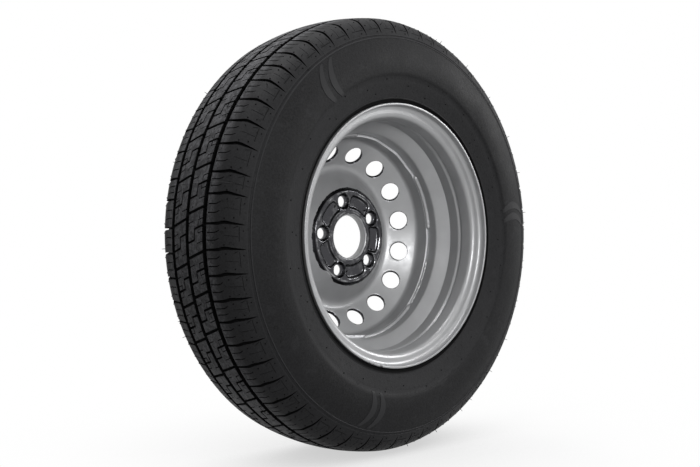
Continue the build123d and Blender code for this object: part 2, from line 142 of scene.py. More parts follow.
# How the shoulder's cuts shift round the tyre, run out in depth and narrow, by the distance across the tread.
HOOK = [
    (36.0, 1.5), (54.0, 1.5), (60.0, 1.1), (64.0, 0.2), (67.0, -0.3), (71.0, -0.1), (80.0, 1.2), (97.0, 2.9)]
SIPE_HOOK = [(40.0, 0.0), (54.0, 0.0), (57.0, -0.6), (61.0, -2.4)]
TICK_SLANT = [(79.8, 1.7), (86.6, -1.7)]
RUN_OUT = [(36.0, 1.0), (80.0, 1.0), (88.0, 0.8), (93.0, 0.45), (96.0, 0.12)]
NARROWING = [
    (36.0, 0.8), (50.0, 0.95), (60.0, 1.25), (66.0, 1.3), (72.0, 1.2), (80.0, 0.95), (88.0, 0.65),
    (93.0, 0.38), (96.0, 0.12)]

# Marks from the mould: paired arcs across the sidewalls, and stubs where the mould let out its air.
MOULD_TURN = 12.0
MOULD_SEGMENT = 45.0
ARC_TURNS = [6.5, 10.5, 124.5, 128.6, 252.1, 256.2]
ARC_ENDS = (232.0, 284.5)
ARC_CREST = 253.0
STUB_RINGS = [(229.0, [56.0 + 22.5 * i for i in range(16)]), (220.0, [44.0 + 22.5 * i for i in range(16)]),
              (211.0, [44.5, 78.0, 107.0, 131.0, 180.0, 192.0, 205.0])]

# Stubs on each shoulder block, by the distance across the tread and the share of the pitch.
SHOULDER_STUBS = [(70.0, 0.22), (80.5, 0.8), (93.0, 0.25), (68.0, 0.87)]
# Stubs and hairs by radius, height and radius of the tip.
WALL_STUB = (1.0, 0.8, 0.75)
SHOULDER_STUB = (1.0, 0.7, 0.8)
HAIR = (0.5, 4.8, 0.25)
# Which of each eleven stubs are left as hairs, on the inboard side and the outboard one.
HAIR_PLACES = {1: (1, 4, 9), -1: (2, 7)}

# Rim: the tyre side of the rolled sheet from the inboard flange to the outboard one, with its bend radii.
RIM_LINE = [
    (194.9, -84.35), (194.9, -69.85), (177.4, -69.85), (175.67, -51.5), (179.1, -48.2), (175.67, -42.9),
    (175.6, -26.2), (160.3, -8.6), (160.0, 2.5), (160.0, 31.05), (175.67, 42.9), (179.1, 48.2),
    (175.67, 51.5), (177.4, 69.85), (194.9, 69.85), (194.9, 84.35),
]
RIM_BENDS = [9.5, 5.0, 2.5, 3.0, 3.0, 3.0, 3.0, 8.0, 6.0, 6.0, 3.0, 2.5, 5.0, 9.5]
VALVE_HOLE_R = 5.75

# Paint: how metallic it is, the angle where it is chipped, and the lip's spans of radius and place in metres.
PAINT_METAL = 0.35
CHIP_TURN = 254.0
LIP_SPAN = (0.1915, 0.1925)
LIP_SIDE = (-0.0815, -0.0825)

# Disc: its inboard face from the bore collar to the flange, with its bend radii.
DISC_LINE = [(33.3, 42.0), (33.3, 30.0), (72.0, 30.0), (106.6, 64.6), (152.9, 28.16), (152.9, 7.0)]
DISC_BENDS = [4.0, 5.0, 12.0, 9.0]
PAD_Y = 30.0
PAD_R = 72.0
# Bolt dishes: where their walls start, how wide the walls are, and their depth.
DISH_R = 13.4
DISH_WALL = 4.6
DISH_DEPTH = 6.0
# Pockets between them: the circle of their middles, half width, half arc, corner radius, wall and depth.
POCKET_R = 54.5
POCKET_HALF = 9.5
POCKET_ARC = 21.0
POCKET_CORNER = 5.0
POCKET_WALL = 5.6
POCKET_DEPTH = 4.0
BOLT_TURN = 103.3
BOLT_CIRCLE_R = 56.0
VENT_TURN = 12.3
VENT_CIRCLE_R = 131.0
VENT_Y = 47.2
VENT_SLOPE = 41.0
VENT_ROLL = 1.5              # how far the punch drew in the edge of each vent, which the painted shade covers
FLANGE_R = 150.0
WAVE_TOP = 22.0              # where the waves of the flange's free edge have died away
WELD_CORNER = Vector((156.85, 6.85))
WELD_OUTLINE = [
    (156.85, 6.85), (156.85, 2.4), (155.6, 2.55), (154.2, 3.3), (153.1, 4.5), (152.5, 6.0), (152.6, 6.85)]
WELD_ANGLES = [(4.0, 40.0), (92.0, 122.0), (166.0, 214.0), (272.0, 316.0)]
TORN_ANGLES = [(316.0, 347.0)]
FREE_EDGE = [                # how far the flange's edge lies along the axis, by its angle
    (0.0, 6.5), (4.0, 7.0), (39.0, 7.0), (41.2, 6.2), (46.8, 8.7), (52.8, 8.4), (58.2, 7.1), (64.2, 9.4),
    (69.8, 9.8), (77.8, 6.2), (85.0, 7.2), (122.0, 7.0), (131.0, 9.4), (143.0, 10.6), (157.0, 9.0),
    (166.0, 7.0), (214.0, 7.0), (224.0, 10.4), (240.0, 9.2), (256.0, 11.2), (269.0, 13.0), (272.0, 7.0),
    (315.0, 7.0), (330.0, 7.6), (348.0, 7.4), (360.0, 6.5),
]
COAT_R = 76.2                # the dark coat covers the pad and the bend round it
COAT_BITE = 232.0            # the angle where the silver reaches further in

# Valve: where its axis meets the well's wall, and which way it points.
VALVE_AXIS = Vector(next(joint["axis"] for joint in frame["joints"] if joint["name"] == "cap_lift"))
VALVE_FOOT = (167.83, 37.05, 202.5)
# Its pieces are turned from (radius, height) points.
BODY_LINE = [
    (3.95, -3.8), (5.1, -3.8), (5.1, -5.5), (7.0, -5.5), (8.4, -4.1), (8.4, -0.3), (5.65, -0.3), (5.65, 3.3),
    (6.9, 3.3), (6.9, 6.2), (6.1, 8.0), (5.8, 14.0), (5.2, 22.3), (3.95, 22.3), (3.95, -3.8)]
BODY_BENDS = [0.05, 0.05, 0.5, 0.8, 0.5, 0.2, 0.2, 0.3, 0.8, 2.0, 6.0, 0.6, 0.05]
STEM_LINE = [
    (2.0, -5.5), (5.0, -5.5), (5.0, -3.9), (3.7, -3.9), (3.7, 22.6), (3.45, 23.2), (3.45, 34.6), (3.2, 35.3),
    (2.65, 35.3), (2.65, 23.7), (2.0, 23.7), (2.0, -5.5)]
CAP_LINE = [(4.15, 24.8), (4.9, 24.8), (5.05, 25.1), (5.05, 35.4), (4.6, 37.0), (3.6, 37.8), (0.0, 37.8)]
CAP_INSIDE = [(4.15, 24.8), (4.15, 36.6), (0.0, 36.6)]
CAP_STEPS = 96
CAP_RIB = 0.28               # how far the cap's ribs stand out
SEAL_COLOUR = (0.07, 0.045, 0.035)
STEEL_COLOUR = (0.6, 0.6, 0.62)

# Stage: each light with its place, size and setting, and the camera fitted to the photo, with its angles in
# radians and its lens and shift in pixels.
LIGHTS = [
    ("key_light", (-0.4, 0.0, 2.4), 1.5, "key_power"),
    ("front_light", (-0.74, -2.34, 0.5), 0.7, "front_power"),
    ("side_light", (1.91, -1.2, 0.82), 0.9, "side_power"),
]
CAMERA_TURN = -0.768023
CAMERA_RISE = 0.028133
CAMERA_ROLL = 0.001852
CAMERA_DISTANCE = 1.49562
CAMERA_OFFSET = (-0.02108, -0.05374)
SENSOR_WIDTH = 36.0
PHOTO_WIDTH = 700.0
FOCAL_PIXELS = 974.18
SHIFT_PIXELS = (-0.02, 38.03)


def on_wheel(radius, y, angle):
    """A point from its radius, its place along the axis and its angle in degrees."""
    return Vector((radius * cos(radians(angle)), y, radius * sin(radians(angle))))


def ease(value):
    """A smooth step from 0 to 1."""
    share = min(max(value, 0.0), 1.0)
    return share * share * (3.0 - 2.0 * share)


def ramp(places, at):
    """A value read from (place, value) pairs, straight between them."""
    at = min(max(at, places[0][0]), places[-1][0])
    for (low, first), (high, last) in zip(places, places[1:]):
        if at <= high:
            return first + (last - first) * (at - low) / max(high - low, 1e-9)
    return places[-1][1]


def smooth_line(points, step):
    """A smooth curve through the points, as places about one step apart."""
    points = [Vector(point) for point in points]
    ends = [points[0] * 2 - points[1], *points, points[-1] * 2 - points[-2]]
    line = []
    for before, start, end, after in zip(ends, ends[1:], ends[2:], ends[3:]):
        count = max(2, round((end - start).length / step) + 1)
        leave = start + (end - before) / 6
        arrive = end - (after - start) / 6
        line += interpolate_bezier(start, leave, arrive, end, count)[:-1]
    return line + [points[-1]]


def draw_line(bm, points, bends=(), segments=6):
    """Draws a line through (radius, y) points as edges and rounds its inner corners. Returns its edges."""
    verts = [bm.verts.new((radius, y, 0.0)) for radius, y in points]
    for pair in zip(verts, verts[1:]):
        bm.edges.new(pair)
    start = verts[0]
    for vert, bend in zip(verts[1:-1], bends):
        one, two = [edge.other_vert(vert).co - vert.co for edge in vert.link_edges]
        bmesh.ops.bevel(
            bm, geom=[vert], offset=bend * tan((pi - one.angle(two)) / 2), offset_type="OFFSET",
            segments=segments, profile=0.5, affect="VERTICES", material=-1)
    edges, vert, edge = [], start, start.link_edges[0]
    while edge:
        edges.append(edge)
        vert = edge.other_vert(vert)
        edge = next((other for other in vert.link_edges if other is not edge), None)
    return edges


def split_edges(bm, edges, longest):
    """Divides each edge evenly, so that none is longer than a given length. Returns all of the edges."""
    whole = list(edges)
    for edge in edges:
        cuts = int(edge.calc_length() / longest)
        if cuts:
            made = bmesh.ops.subdivide_edges(bm, edges=[edge], cuts=cuts)["geom_split"]
            whole += [part for part in made if isinstance(part, bmesh.types.BMEdge)]
    return [edge for edge in dict.fromkeys(whole) if edge.is_valid]


def spin(bm, edges, steps, arc=360.0, axis=(0, -1, 0)):
    """Turns edges round an axis through the origin, all the way round or through an arc."""
    verts = dict.fromkeys(vert for edge in edges for vert in edge.verts)
    bmesh.ops.spin(
        bm, geom=[*verts, *edges], cent=(0, 0, 0), axis=axis, angle=radians(arc), steps=steps,
        use_merge=arc == 360.0)


def merge(bm, distance=0.001):
    """Joins the points of a mesh that lie on one another."""
    bmesh.ops.remove_doubles(bm, verts=bm.verts[:], dist=distance)


def place_mesh(bm, matrix):
    """Moves a whole mesh to its place."""
    bmesh.ops.transform(bm, matrix=matrix, verts=bm.verts[:])


def keep_mesh(name, bm):
    """Turns a mesh that is being worked on into a kept one."""
    mesh = bpy.data.meshes.new(name)
    bm.to_mesh(mesh)
    bm.free()
    return mesh


def new_points(made):
    """The points among the parts that a step has made."""
    return [part for part in made if isinstance(part, bmesh.types.BMVert)]


def add_mesh(bm, other):
    """Adds another mesh to this one and lets go of it."""
    mesh = keep_mesh("addition", other)
    bm.from_mesh(mesh)
    bpy.data.meshes.remove(mesh)


def make_piece(name, bm, material, body="wheel", stands_for=(), crease=35.0):
    """Turns a mesh in millimetres into a finished piece that rides on its body."""
    merge(bm, 0.002)
    bmesh.ops.recalc_face_normals(bm, faces=bm.faces[:])
    bmesh.ops.scale(bm, vec=(MM, MM, MM), verts=bm.verts[:])
    for face in bm.faces:
        face.smooth = True
    mesh = keep_mesh(name, bm)
    mesh.set_sharp_from_angle(angle=radians(crease))
    piece = bpy.data.objects.new(name, mesh)
    bpy.context.scene.collection.objects.link(piece)
    mesh.materials.append(material)
    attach(piece, body)
    if stands_for:
        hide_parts(*stands_for)
    return piece


def cut_piece(piece, cutter, crease=35.0):
    """Takes a cutter's mesh, in millimetres, out of a piece."""
    bmesh.ops.recalc_face_normals(cutter, faces=cutter.faces[:])
    bmesh.ops.scale(cutter, vec=(MM, MM, MM), verts=cutter.verts[:])
    tool = bpy.data.objects.new("cutter", keep_mesh("cutter", cutter))
    bpy.context.scene.collection.objects.link(tool)
    holes = piece.modifiers.new("holes", "BOOLEAN")
    holes.operation = "DIFFERENCE"
    holes.solver = "MANIFOLD"
    holes.object = tool
    shown = piece.evaluated_get(bpy.context.evaluated_depsgraph_get())
    whole = bpy.data.meshes.new_from_object(shown)
    piece.modifiers.remove(holes)
    bpy.data.objects.remove(tool)
    whole.name = piece.name
    piece.data = whole
    for face in whole.polygons:
        face.use_smooth = True
    whole.set_sharp_from_angle(angle=radians(crease))


class Value:
    """A number or colour in a node tree, with the steps that the materials need."""

    def __init__(self, tree, socket):
        self.tree = tree
        self.socket = socket

    def step(self, operation, other=0.0):
        """One step of arithmetic with another value."""
        node = add_node(self.tree, "ShaderNodeMath", {0: self, 1: other}, operation=operation)
        return Value(self.tree, node.outputs[0])

    def __add__(self, other):
        return self.step("ADD", other)

    def __sub__(self, other):
        return self.step("SUBTRACT", other)

    def __mul__(self, other):
        return self.step("MULTIPLY", other)

    def __abs__(self):
        return self.step("ABSOLUTE")

    def most(self, other):
        """The larger of two values."""
        return self.step("MAXIMUM", other)

    def spread(self, low, high, first=0.0, last=1.0):
        """Maps this value smoothly from one span to another."""
        node = add_node(self.tree, "ShaderNodeMapRange", {
            "Value": self, "From Min": low, "From Max": high, "To Min": first, "To Max": last},
            interpolation_type="SMOOTHSTEP")
        return Value(self.tree, node.outputs["Result"])

    def between(self, one, two):
        """A number between two others, by this share."""
        return Value(self.tree, add_node(self.tree, "ShaderNodeMix", {0: self, 2: one, 3: two}).outputs[0])

    def blend(self, one, two):
        """A colour between two others, by this share."""
        colours = [colour if isinstance(colour, Value) else (*colour, 1.0) for colour in (one, two)]
        node = add_node(self.tree, "ShaderNodeMix", {0: self, 6: colours[0], 7: colours[1]}, data_type="RGBA")
        return Value(self.tree, node.outputs[2])

    def drive(self, shader, name):
        """Links this value to an input of a shader."""
        self.tree.links.new(self.socket, shader.inputs[name])


def add_node(tree, kind, inputs=None, **settings):
    """Adds a shader node. Each input is given a value or a socket to link from."""
    node = tree.nodes.new(kind)
    for name, value in settings.items():
        setattr(node, name, value)
    for name, value in (inputs or {}).items():
        value = value.socket if isinstance(value, Value) else value
        if isinstance(value, bpy.types.NodeSocket):
            tree.links.new(value, node.inputs[name])
        else:
            node.inputs[name].default_value = value
    return node


def shade(colour, factor):
    """A colour made darker or brighter."""
    return [part * factor for part in colour]


def start_material(name, colour, roughness, metallic=0.0):
    """A new material with its plain values set on the shader. Returns it, its tree, shader and place."""
    material = bpy.data.materials.new(name)
    material.use_nodes = True
    material.diffuse_color = (*colour, 1.0)
    tree = material.node_tree
    shader = tree.nodes["Principled BSDF"]
    shader.inputs["Base Color"].default_value = (*colour, 1.0)
    shader.inputs["Roughness"].default_value = roughness
    shader.inputs["Metallic"].default_value = metallic
    place = add_node(tree, "ShaderNodeTexCoord").outputs["Object"]
    return material, tree, shader, place


def noise_value(tree, place, scale, detail=3.0, roughness=0.5):
    """A noise value at a place, with its scale in waves to the metre."""
    node = add_node(tree, "ShaderNodeTexNoise", {
        "Vector": place, "Scale": scale, "Detail": detail, "Roughness": roughness})
    return Value(tree, node.outputs["Fac"])


def attribute_value(tree, name):
    """A value that the mesh holds for each of its points."""
    return Value(tree, add_node(tree, "ShaderNodeAttribute", attribute_name=name).outputs["Fac"])


def wheel_place(tree, place):
    """The radius, the place along the axis and the angle in radians of a point of the wheel."""
    x, along, z = [Value(tree, axis) for axis in add_node(tree, "ShaderNodeSeparateXYZ", {0: place}).outputs]
    return (x * x + z * z).step("SQRT"), along, z.step("ARCTAN2", x)


def link_bump(shader, height, strength, distance):
    """Gives a shader a relief from a height value."""
    bump = add_node(height.tree, "ShaderNodeBump", {
        "Height": height, "Strength": strength, "Distance": distance})
    Value(height.tree, bump.outputs["Normal"]).drive(shader, "Normal")


def tyre_rubber(settings):
    """Dull rubber: a paler bead band, a painted sheen on the crown, mottling, rubs with painted highlight
    lines along the tread's edge, painted shade in the hollows and at the bead's seat, and lines from the
    mould.
    """
    rubber, bloom = settings.rubber_colour, settings.bloom_colour
    material, tree, shader, place = start_material("tyre_rubber", rubber, 0.6)
    shader.inputs["Specular IOR Level"].default_value = RUBBER_GLOSS
    radius, _, angle = wheel_place(tree, place)
    clouds = noise_value(tree, place, 11.0, 5.0, 0.6)
    patches = noise_value(tree, place, 34.0, 4.0, 0.55).spread(0.5, 0.62)
    band = radius.spread(*BAND_SPAN)
    tread = radius.spread(*TREAD_SPAN)
    pale = (band * 0.75).most(tread * 0.6) + clouds.spread(0.38, 0.64) * 0.5 + patches * band * 0.3
    colour = pale.blend(rubber, bloom)
    # Painted sheen: the crown is paler, streaked by noise.
    crown_sheen = noise_value(tree, place, 120.0, 5.0, 0.7).spread(0.4, 0.62)
    colour = radius.spread(*CROWN_SHEEN_SPAN).blend(colour, crown_sheen.blend(shade(bloom, 3.0), shade(bloom, 7.5)))
    blotches = noise_value(tree, place, 170.0, 4.0, 0.6).spread(0.3, 0.42)
    colour = blotches.blend(shade(rubber, 0.6), colour)
    # Pale rubs at random, and painted highlight lines along the tread's edge and on its ridge.
    rubs_and_highlights = noise_value(tree, place, 46.0, 6.0, 0.7).spread(0.54, 0.72, 0.0, 0.35)
    for step, reach, share in EDGE_HIGHLIGHTS:
        off = abs(radius - TreadLine().at(step).x * MM)
        rubs_and_highlights = rubs_and_highlights.most(off.spread(reach * MM, 0.2 * MM, 0.0, share))
    colour = rubs_and_highlights.blend(colour, shade(bloom, 2.2))
    speckle = noise_value(tree, place, 420.0, 3.0, 0.6).spread(0.32, 0.68, 0.0, 0.45)
    colour = speckle.blend(colour, shade(bloom, 1.6))
    sunk = attribute_value(tree, "sunk")
    # Painted shade: the hollows turn dark just below their tops, their deepest floors a little paler, and the
    # bead darkens where it meets the rim.
    hollow = sunk.spread(0.0, 0.14).most(radius.spread(*SEAT_SHADE_SPAN))
    deep = sunk.spread(0.55, 1.0).blend(settings.groove_shade_colour, shade(rubber, 0.7))
    hollow.blend(colour, deep).drive(shader, "Base Color")
    clouds.spread(0.3, 0.7, 0.5, 0.64).most(hollow * 0.9).drive(shader, "Roughness")
    grain = noise_value(tree, place, 1500.0, 2.0) + noise_value(tree, place, 260.0, 3.0) * 1.6
    segment = (angle + radians(MOULD_TURN + 360.0)).step("PINGPONG", radians(MOULD_SEGMENT / 2))
    seam = segment.spread(0.003, 0.001) * tread
    link_bump(shader, grain * 0.14 + seam * 0.5, 1.0, MM)
    return material


def silver_paint(settings, coat=False):
    """Satin silver paint over dark primer, with chips on the flange lip, or on the disc a glossy dark pad for
    the hub with painted shade and highlights, painted shade at the vents' edges and a painted highlight on
    the flange's free edge.
    """
    name = "silver_paint_disc" if coat else "silver_paint"
    material, tree, shader, place = start_material(name, settings.paint_colour, 0.38, PAINT_METAL)
    cloud = noise_value(tree, place, 24.0, 4.0, 0.55).spread(0.3, 0.7)
    paint = cloud.blend(settings.paint_colour, shade(settings.paint_colour, 0.92))
    height = noise_value(tree, place, 420.0, 2.0) * 0.012
    if coat:
        # Painted highlight: the flange's free edge is lighter.
        edge_highlight = attribute_value(tree, "free_edge").spread(0.85, 1.0)
        paint = edge_highlight.blend(paint, shade(settings.paint_colour, 1.9))
        pad = coated_pad(tree, place)
        mask, dark = hub_coat(tree, place, pad, settings)
        dark_rough = noise_value(tree, place, 150.0, 4.0, 0.6).spread(0.35, 0.7, 0.1, 0.24)
        height = height + noise_value(tree, place, 58.0, 1.5, 0.4) * (pad * 0.8)
    else:
        mask = lip_chips(tree, place)
        dark = settings.coat_colour
        dark_rough = 0.5
    mask.blend(paint, dark).drive(shader, "Base Color")
    mask.between(PAINT_METAL, 1.0 if coat else 0.0).drive(shader, "Metallic")
    rough = noise_value(tree, place, 90.0, 4.0).spread(0.3, 0.7, 0.32, 0.42)
    mask.between(rough, dark_rough).drive(shader, "Roughness")
    link_bump(shader, height, 1.0, MM)
    return material


def coated_pad(tree, place):
    """1 on the hub pad under the dark coat, with a ragged edge."""
    ragged = (noise_value(tree, place, 110.0, 5.0, 0.65) - 0.5) * 4.0
    return (attribute_value(tree, "coat_reach") + ragged).spread(-0.25, 0.25)


def hub_coat(tree, place, pad, settings):
    """Where the dark coat and the painted shade of the vents' edges show, and the coat's colour, with painted
    shade on its pressed walls and painted silver highlights on its edges.
    """
    mist = noise_value(tree, place, 52.0, 5.0, 0.65).spread(0.5, 0.72, 0.0, 0.22)
    # The vents' drawn-in edges take the dark coat as painted shade.
    mask = pad.most(attribute_value(tree, "cut_edge").spread(0.8, 0.95)) - mist * pad
    patchy = noise_value(tree, place, 75.0, 4.0, 0.6).spread(0.44, 0.66)
    # Painted shade: the coat is darkest on its pressed walls and on the bend round the pad.
    dark = attribute_value(tree, "pressed_wall").blend(shade(settings.coat_colour, 9.0), settings.coat_colour)
    # Painted highlights: the coat's edges turn silver, broken by noise.
    return mask, (attribute_value(tree, "worn_edge") * patchy).blend(dark, settings.paint_colour)


def lip_chips(tree, place):
    """1 in the chips of the paint, which lie close together on the inboard lip."""
    radius, along, angle = wheel_place(tree, place)
    near = abs(angle + radians(360.0 - CHIP_TURN)).spread(0.16, 0.1)
    spots = noise_value(tree, place, 230.0, 4.0, 0.7).spread(0.53, 0.56)
    return near * spots * (radius.spread(*LIP_SPAN) * along.spread(*LIP_SIDE))


def fine_material(name, colour, roughness, metallic, grain, relief, gloss=0.5):
    """A small part's finish: a light variation of colour and roughness over a fine grain."""
    material, tree, shader, place = start_material(name, colour, roughness, metallic)
    shader.inputs["Specular IOR Level"].default_value = gloss
    value = noise_value(tree, place, grain, 4.0, 0.6)
    value.blend(shade(colour, 0.8), shade(colour, 1.2)).drive(shader, "Base Color")
    value.spread(0.2, 0.8, roughness * 0.85, roughness * 1.15).drive(shader, "Roughness")
    link_bump(shader, value, relief, 0.1 * MM)
    return material


class TreadLine:
    """The outer line of the tyre from the crown's centre towards one side, by the distance along it."""

    def __init__(self):
        last = CROWN_HALF / CROWN_RADIUS
        crown = [self.crown_point(last * i / 30) for i in range(31)]
        points = crown + smooth_line([crown[-2], crown[-1], *SHOULDER_LINE], 2.0)[2:]
        self.points, self.lengths, self.normals = points, [0.0], []
        for one, two in zip(points, points[1:]):
            self.lengths.append(self.lengths[-1] + (two - one).length)
        for i in range(len(points)):
            run = points[min(i + 1, len(points) - 1)] - points[max(i - 1, 0)]
            self.normals.append(Vector((run.y, -run.x)).normalized())
        self.normals[0] = Vector((1.0, 0.0))

    @staticmethod
    def crown_point(angle):
        return Vector((TYRE_R - CROWN_RADIUS * (1 - cos(angle)), CROWN_RADIUS * sin(angle)))

    def at(self, distance, height=0.0):
        """The (radius, half width) at a distance along the line and a height over it."""
        i = min(max(bisect_right(self.lengths, distance) - 1, 0), len(self.points) - 2)
        share = (distance - self.lengths[i]) / (self.lengths[i + 1] - self.lengths[i])
        point = self.points[i].lerp(self.points[i + 1], share)
        return point + self.normals[i].lerp(self.normals[i + 1], share).normalized() * height


def slice_faces(bm, faces, place, normal):
    """Cuts only the given faces along a plane."""
    parts = list(faces)
    for face in faces:
        parts += [*face.edges, *face.verts]
    bmesh.ops.bisect_plane(bm, geom=list(dict.fromkeys(parts)), dist=1e-5, plane_co=place, plane_no=normal)


def faces_over(bm, low_x, high_x, low_y, high_y):
    """The faces that share some area with a rectangle."""
    found = []
    for face in bm.faces:
        xs = [vert.co.x for vert in face.verts]
        ys = [vert.co.y for vert in face.verts]
        shares_x = min(xs) < high_x - NEAR and max(xs) > low_x + NEAR
        shares_y = min(ys) < high_y - NEAR and max(ys) > low_y + NEAR
        if shares_x and shares_y:
            found.append(face)
    return found


def carve_tile(columns, rows, hollows):
    """One pitch of tread laid flat: a sheet cut into columns and rows, with hollows sunk to their depths."""
    bm = bmesh.new()
    left, right, front, back = columns[0], columns[-1], rows[0], rows[-1]
    corners = ((left, front), (right, front), (right, back), (left, back))
    bm.faces.new([bm.verts.new((x, y, 0.0)) for x, y in corners])
    for x in columns[1:-1]:
        slice_faces(bm, bm.faces[:], (x, 0, 0), (1, 0, 0))
    for y in rows[1:-1]:
        slice_faces(bm, bm.faces[:], (0, y, 0), (0, 1, 0))
    for low_x, high_x, low_y, high_y, _ in hollows:
        for place, normal in (((low_x, 0, 0), (1, 0, 0)), ((high_x, 0, 0), (1, 0, 0)),
                              ((0, low_y, 0), (0, 1, 0)), ((0, high_y, 0), (0, 1, 0))):
            slice_faces(bm, faces_over(bm, low_x, high_x, low_y, high_y), place, normal)
    sink_hollows(bm, hollows)
    drop_end_walls(bm, ((left, right), (front, back)))
    clear_wall_seams(bm)
    return keep_mesh("tread_tile", bm)


def sink_hollows(bm, hollows):
    """Lowers the faces in each hollow, one depth after another, and leaves walls round them."""
    deep = bm.faces.layers.float.new("deep")
    for face in bm.faces:
        middle = face.calc_center_median()
        face[deep] = max([depth for low_x, high_x, low_y, high_y, depth in hollows
                          if low_x < middle.x < high_x and low_y < middle.y < high_y], default=0.0)
    level = 0.0
    for depth in sorted({hollow[4] for hollow in hollows}):
        region = [face for face in bm.faces if face[deep] > depth - NEAR
                  and all(abs(vert.co.z + level) < NEAR for vert in face.verts)]
        lowered = new_points(bmesh.ops.extrude_face_region(bm, geom=region)["geom"])
        bmesh.ops.translate(bm, verts=lowered, vec=(0, 0, level - depth))
        bmesh.ops.delete(bm, geom=[face for face in region if face.is_valid], context="FACES")
        level = depth
    bm.faces.layers.float.remove(deep)


def drop_end_walls(bm, ends):
    """Takes away the walls on a tile's own border, where the next tile goes on."""
    walls = []
    for face in bm.faces:
        for axis, (low, high) in enumerate(ends):
            places = [vert.co[axis] for vert in face.verts]
            on_border = min(abs(places[0] - low), abs(places[0] - high)) < NEAR
            if max(places) - min(places) < NEAR and on_border:
                walls.append(face)
    bmesh.ops.delete(bm, geom=walls, context="FACES")


def clear_wall_seams(bm):
    """Joins the parts of a wall that was lowered in more than one step."""
    seams = []
    for edge in bm.edges:
        level = edge.verts[0].co.z
        if edge.is_manifold and level < -NEAR and abs(edge.verts[1].co.z - level) < NEAR:
            above, below = [sum(vert.co.z - level for vert in face.verts) for face in edge.link_faces]
            if above * below < -1e-6:
                seams.append(edge)
    bmesh.ops.dissolve_edges(bm, edges=seams, use_verts=True)


def within(place, rows):
    """Tells whether a place lies between two rows or on one of them."""
    return rows[0] - 0.1 < place < rows[1] + 0.1


def cut_at(place, half, low, high, depth):
    """A hollow of a given half width along a line across the tread."""
    return place - half, place + half, low, high, depth


def rib_tile(length, settings):
    """A block pair of the middle rib: its slot, its stepped sipe and the fine sipes beside it."""
    slot, groove, fine = settings.slot_depth / MM, settings.groove_depth / MM, settings.sipe_depth / MM
    shares = (0.12, 0.3, 0.5, 0.7)
    columns = [-5.8, -3.2, *[length * share for share in shares], length - 8.4, length - 5.8]
    start, end = RIB_TILE
    low, high = RIB_EDGES
    leg, step = 0.66 * length, 0.415 * length
    left, right = 0.25 * length, 0.547 * length
    hollows = [
        (columns[0], columns[-1], start, low, groove),
        (columns[0], columns[-1], high, end, groove),
        cut_at(0.0, settings.slot_width / MM / 2, low, high, slot),
        cut_at(leg, LEG_HALF, low, STEP_ROWS[1], slot - STEP_RISE),
        (step, leg + LEG_HALF, *STEP_ROWS, slot - STEP_RISE),
        cut_at(step, STEP_HALF, STEP_ROWS[0], high, slot - STEP_RISE),
        cut_at(left, SIPE_HALF, FINE_ROWS[0], high, fine),
        (left - SIPE_HALF, right + SIPE_HALF, *FINE_ROWS, fine),
        cut_at(right, SIPE_HALF, FINE_ROWS[0], high, fine),
        cut_at(0.765 * length, SIPE_HALF, 21.2, high, fine),
        cut_at(0.225 * length, SIPE_HALF, low, 13.7, fine),
    ]
    return carve_tile(columns, [start, low, 10.0, 17.5, 25.0, high, end], hollows)


def shoulder_tile(length, settings):
    """One shoulder block: its cross groove, two hooked sipes, a faint one, a tick and an edge line."""
    groove, fine = settings.groove_depth / MM, settings.sipe_depth / MM
    shares = (0.25, 0.42, 0.58, 0.76)
    columns = [-4.2, -2.5, *[length * share for share in shares], length - 5.9, length - 4.2]
    sipes = [0.34 * length, 0.635 * length]
    hollows = [
        (columns[0], columns[-1], SHOULDER_START, SHOULDER_EDGE, groove),
        (3.0, 0.7 * length, *LINE_ROWS, LINE_DEPTH),
        cut_at(0.0, CROSS_HALF, SHOULDER_EDGE, CROSS_END, CROSS_DEPTH),
        *[cut_at(place, SIPE_HALF, *SIPE_ROWS, fine) for place in sipes],
        cut_at(0.5 * length, 0.3, 67.8, 86.4, 0.7),
        cut_at(TICK, TICK_HALF, *TICK_ROWS, 1.0),
    ]
    rows = [
        SHOULDER_START, SHOULDER_EDGE, 42.0, 48.0, 54.0, 57.0, 59.0, 61.0, 63.5, 66.5, 70.0, 74.0, 79.0, 84.0,
        *LINE_ROWS, 92.0, CROSS_END, TREAD_EDGE]
    tile = carve_tile(columns, rows, hollows)
    for vert in tile.vertices:
        x, y, _ = vert.co
        if within(y, SIPE_ROWS) and min(abs(x - place) for place in sipes) < SIPE_HALF + 0.05:
            vert.co.x += ramp(SIPE_HOOK, y)
        if within(y, TICK_ROWS) and abs(x - TICK) < TICK_HALF + 0.1:
            vert.co.x += ramp(TICK_SLANT, y)
    return tile


def lay_tiles(bm, line, tiles, letters, units, start, side, skew=0.0, shoulder=False):
    """Lays the pitches of one rib round the tyre. The two sides are the same, turned half round."""
    unit = 360.0 / sum(units[letter] for letter in letters)
    angle = start
    for before, letter in zip(letters[-1] + letters, letters):
        first = len(bm.verts)
        bm.from_mesh(tiles[letter if side == 1 else before])
        bm.verts.ensure_lookup_table()
        sunk = bm.verts.layers.float["sunk"]
        for vert in bm.verts[first:]:
            along, across, height = vert.co
            if shoulder:
                if abs(along) < CROSS_HALF + 0.2:
                    along *= ramp(NARROWING, across)
                along += ramp(HOOK, across) if across < CROSS_END + 0.1 else 0.0
                height *= ramp(RUN_OUT, across) if across < 87.0 or height < -LINE_DEPTH else 1.0
            turn = degrees(along / TYRE_R) - skew * (across - RIB_MIDDLE)
            radius, half = line.at(across, height)
            vert.co = on_wheel(radius, -side * half, angle + side * turn)
            vert[sunk] = min(-height / FULLY_SUNK, 1.0)
        angle += unit * units[letter]


def join_rings(bm, one, two):
    """Closes the gap between two open rings, each given as (radius, y)."""
    edges = []
    for edge in bm.edges:
        if edge.is_boundary:
            for radius, y in (one, two):
                if all(abs(vert.co.y - y) < 0.06 and abs(hypot(vert.co.x, vert.co.z) - radius) < 0.06
                       for vert in edge.verts):
                    edges.append(edge)
    bmesh.ops.bridge_loops(bm, edges=edges)


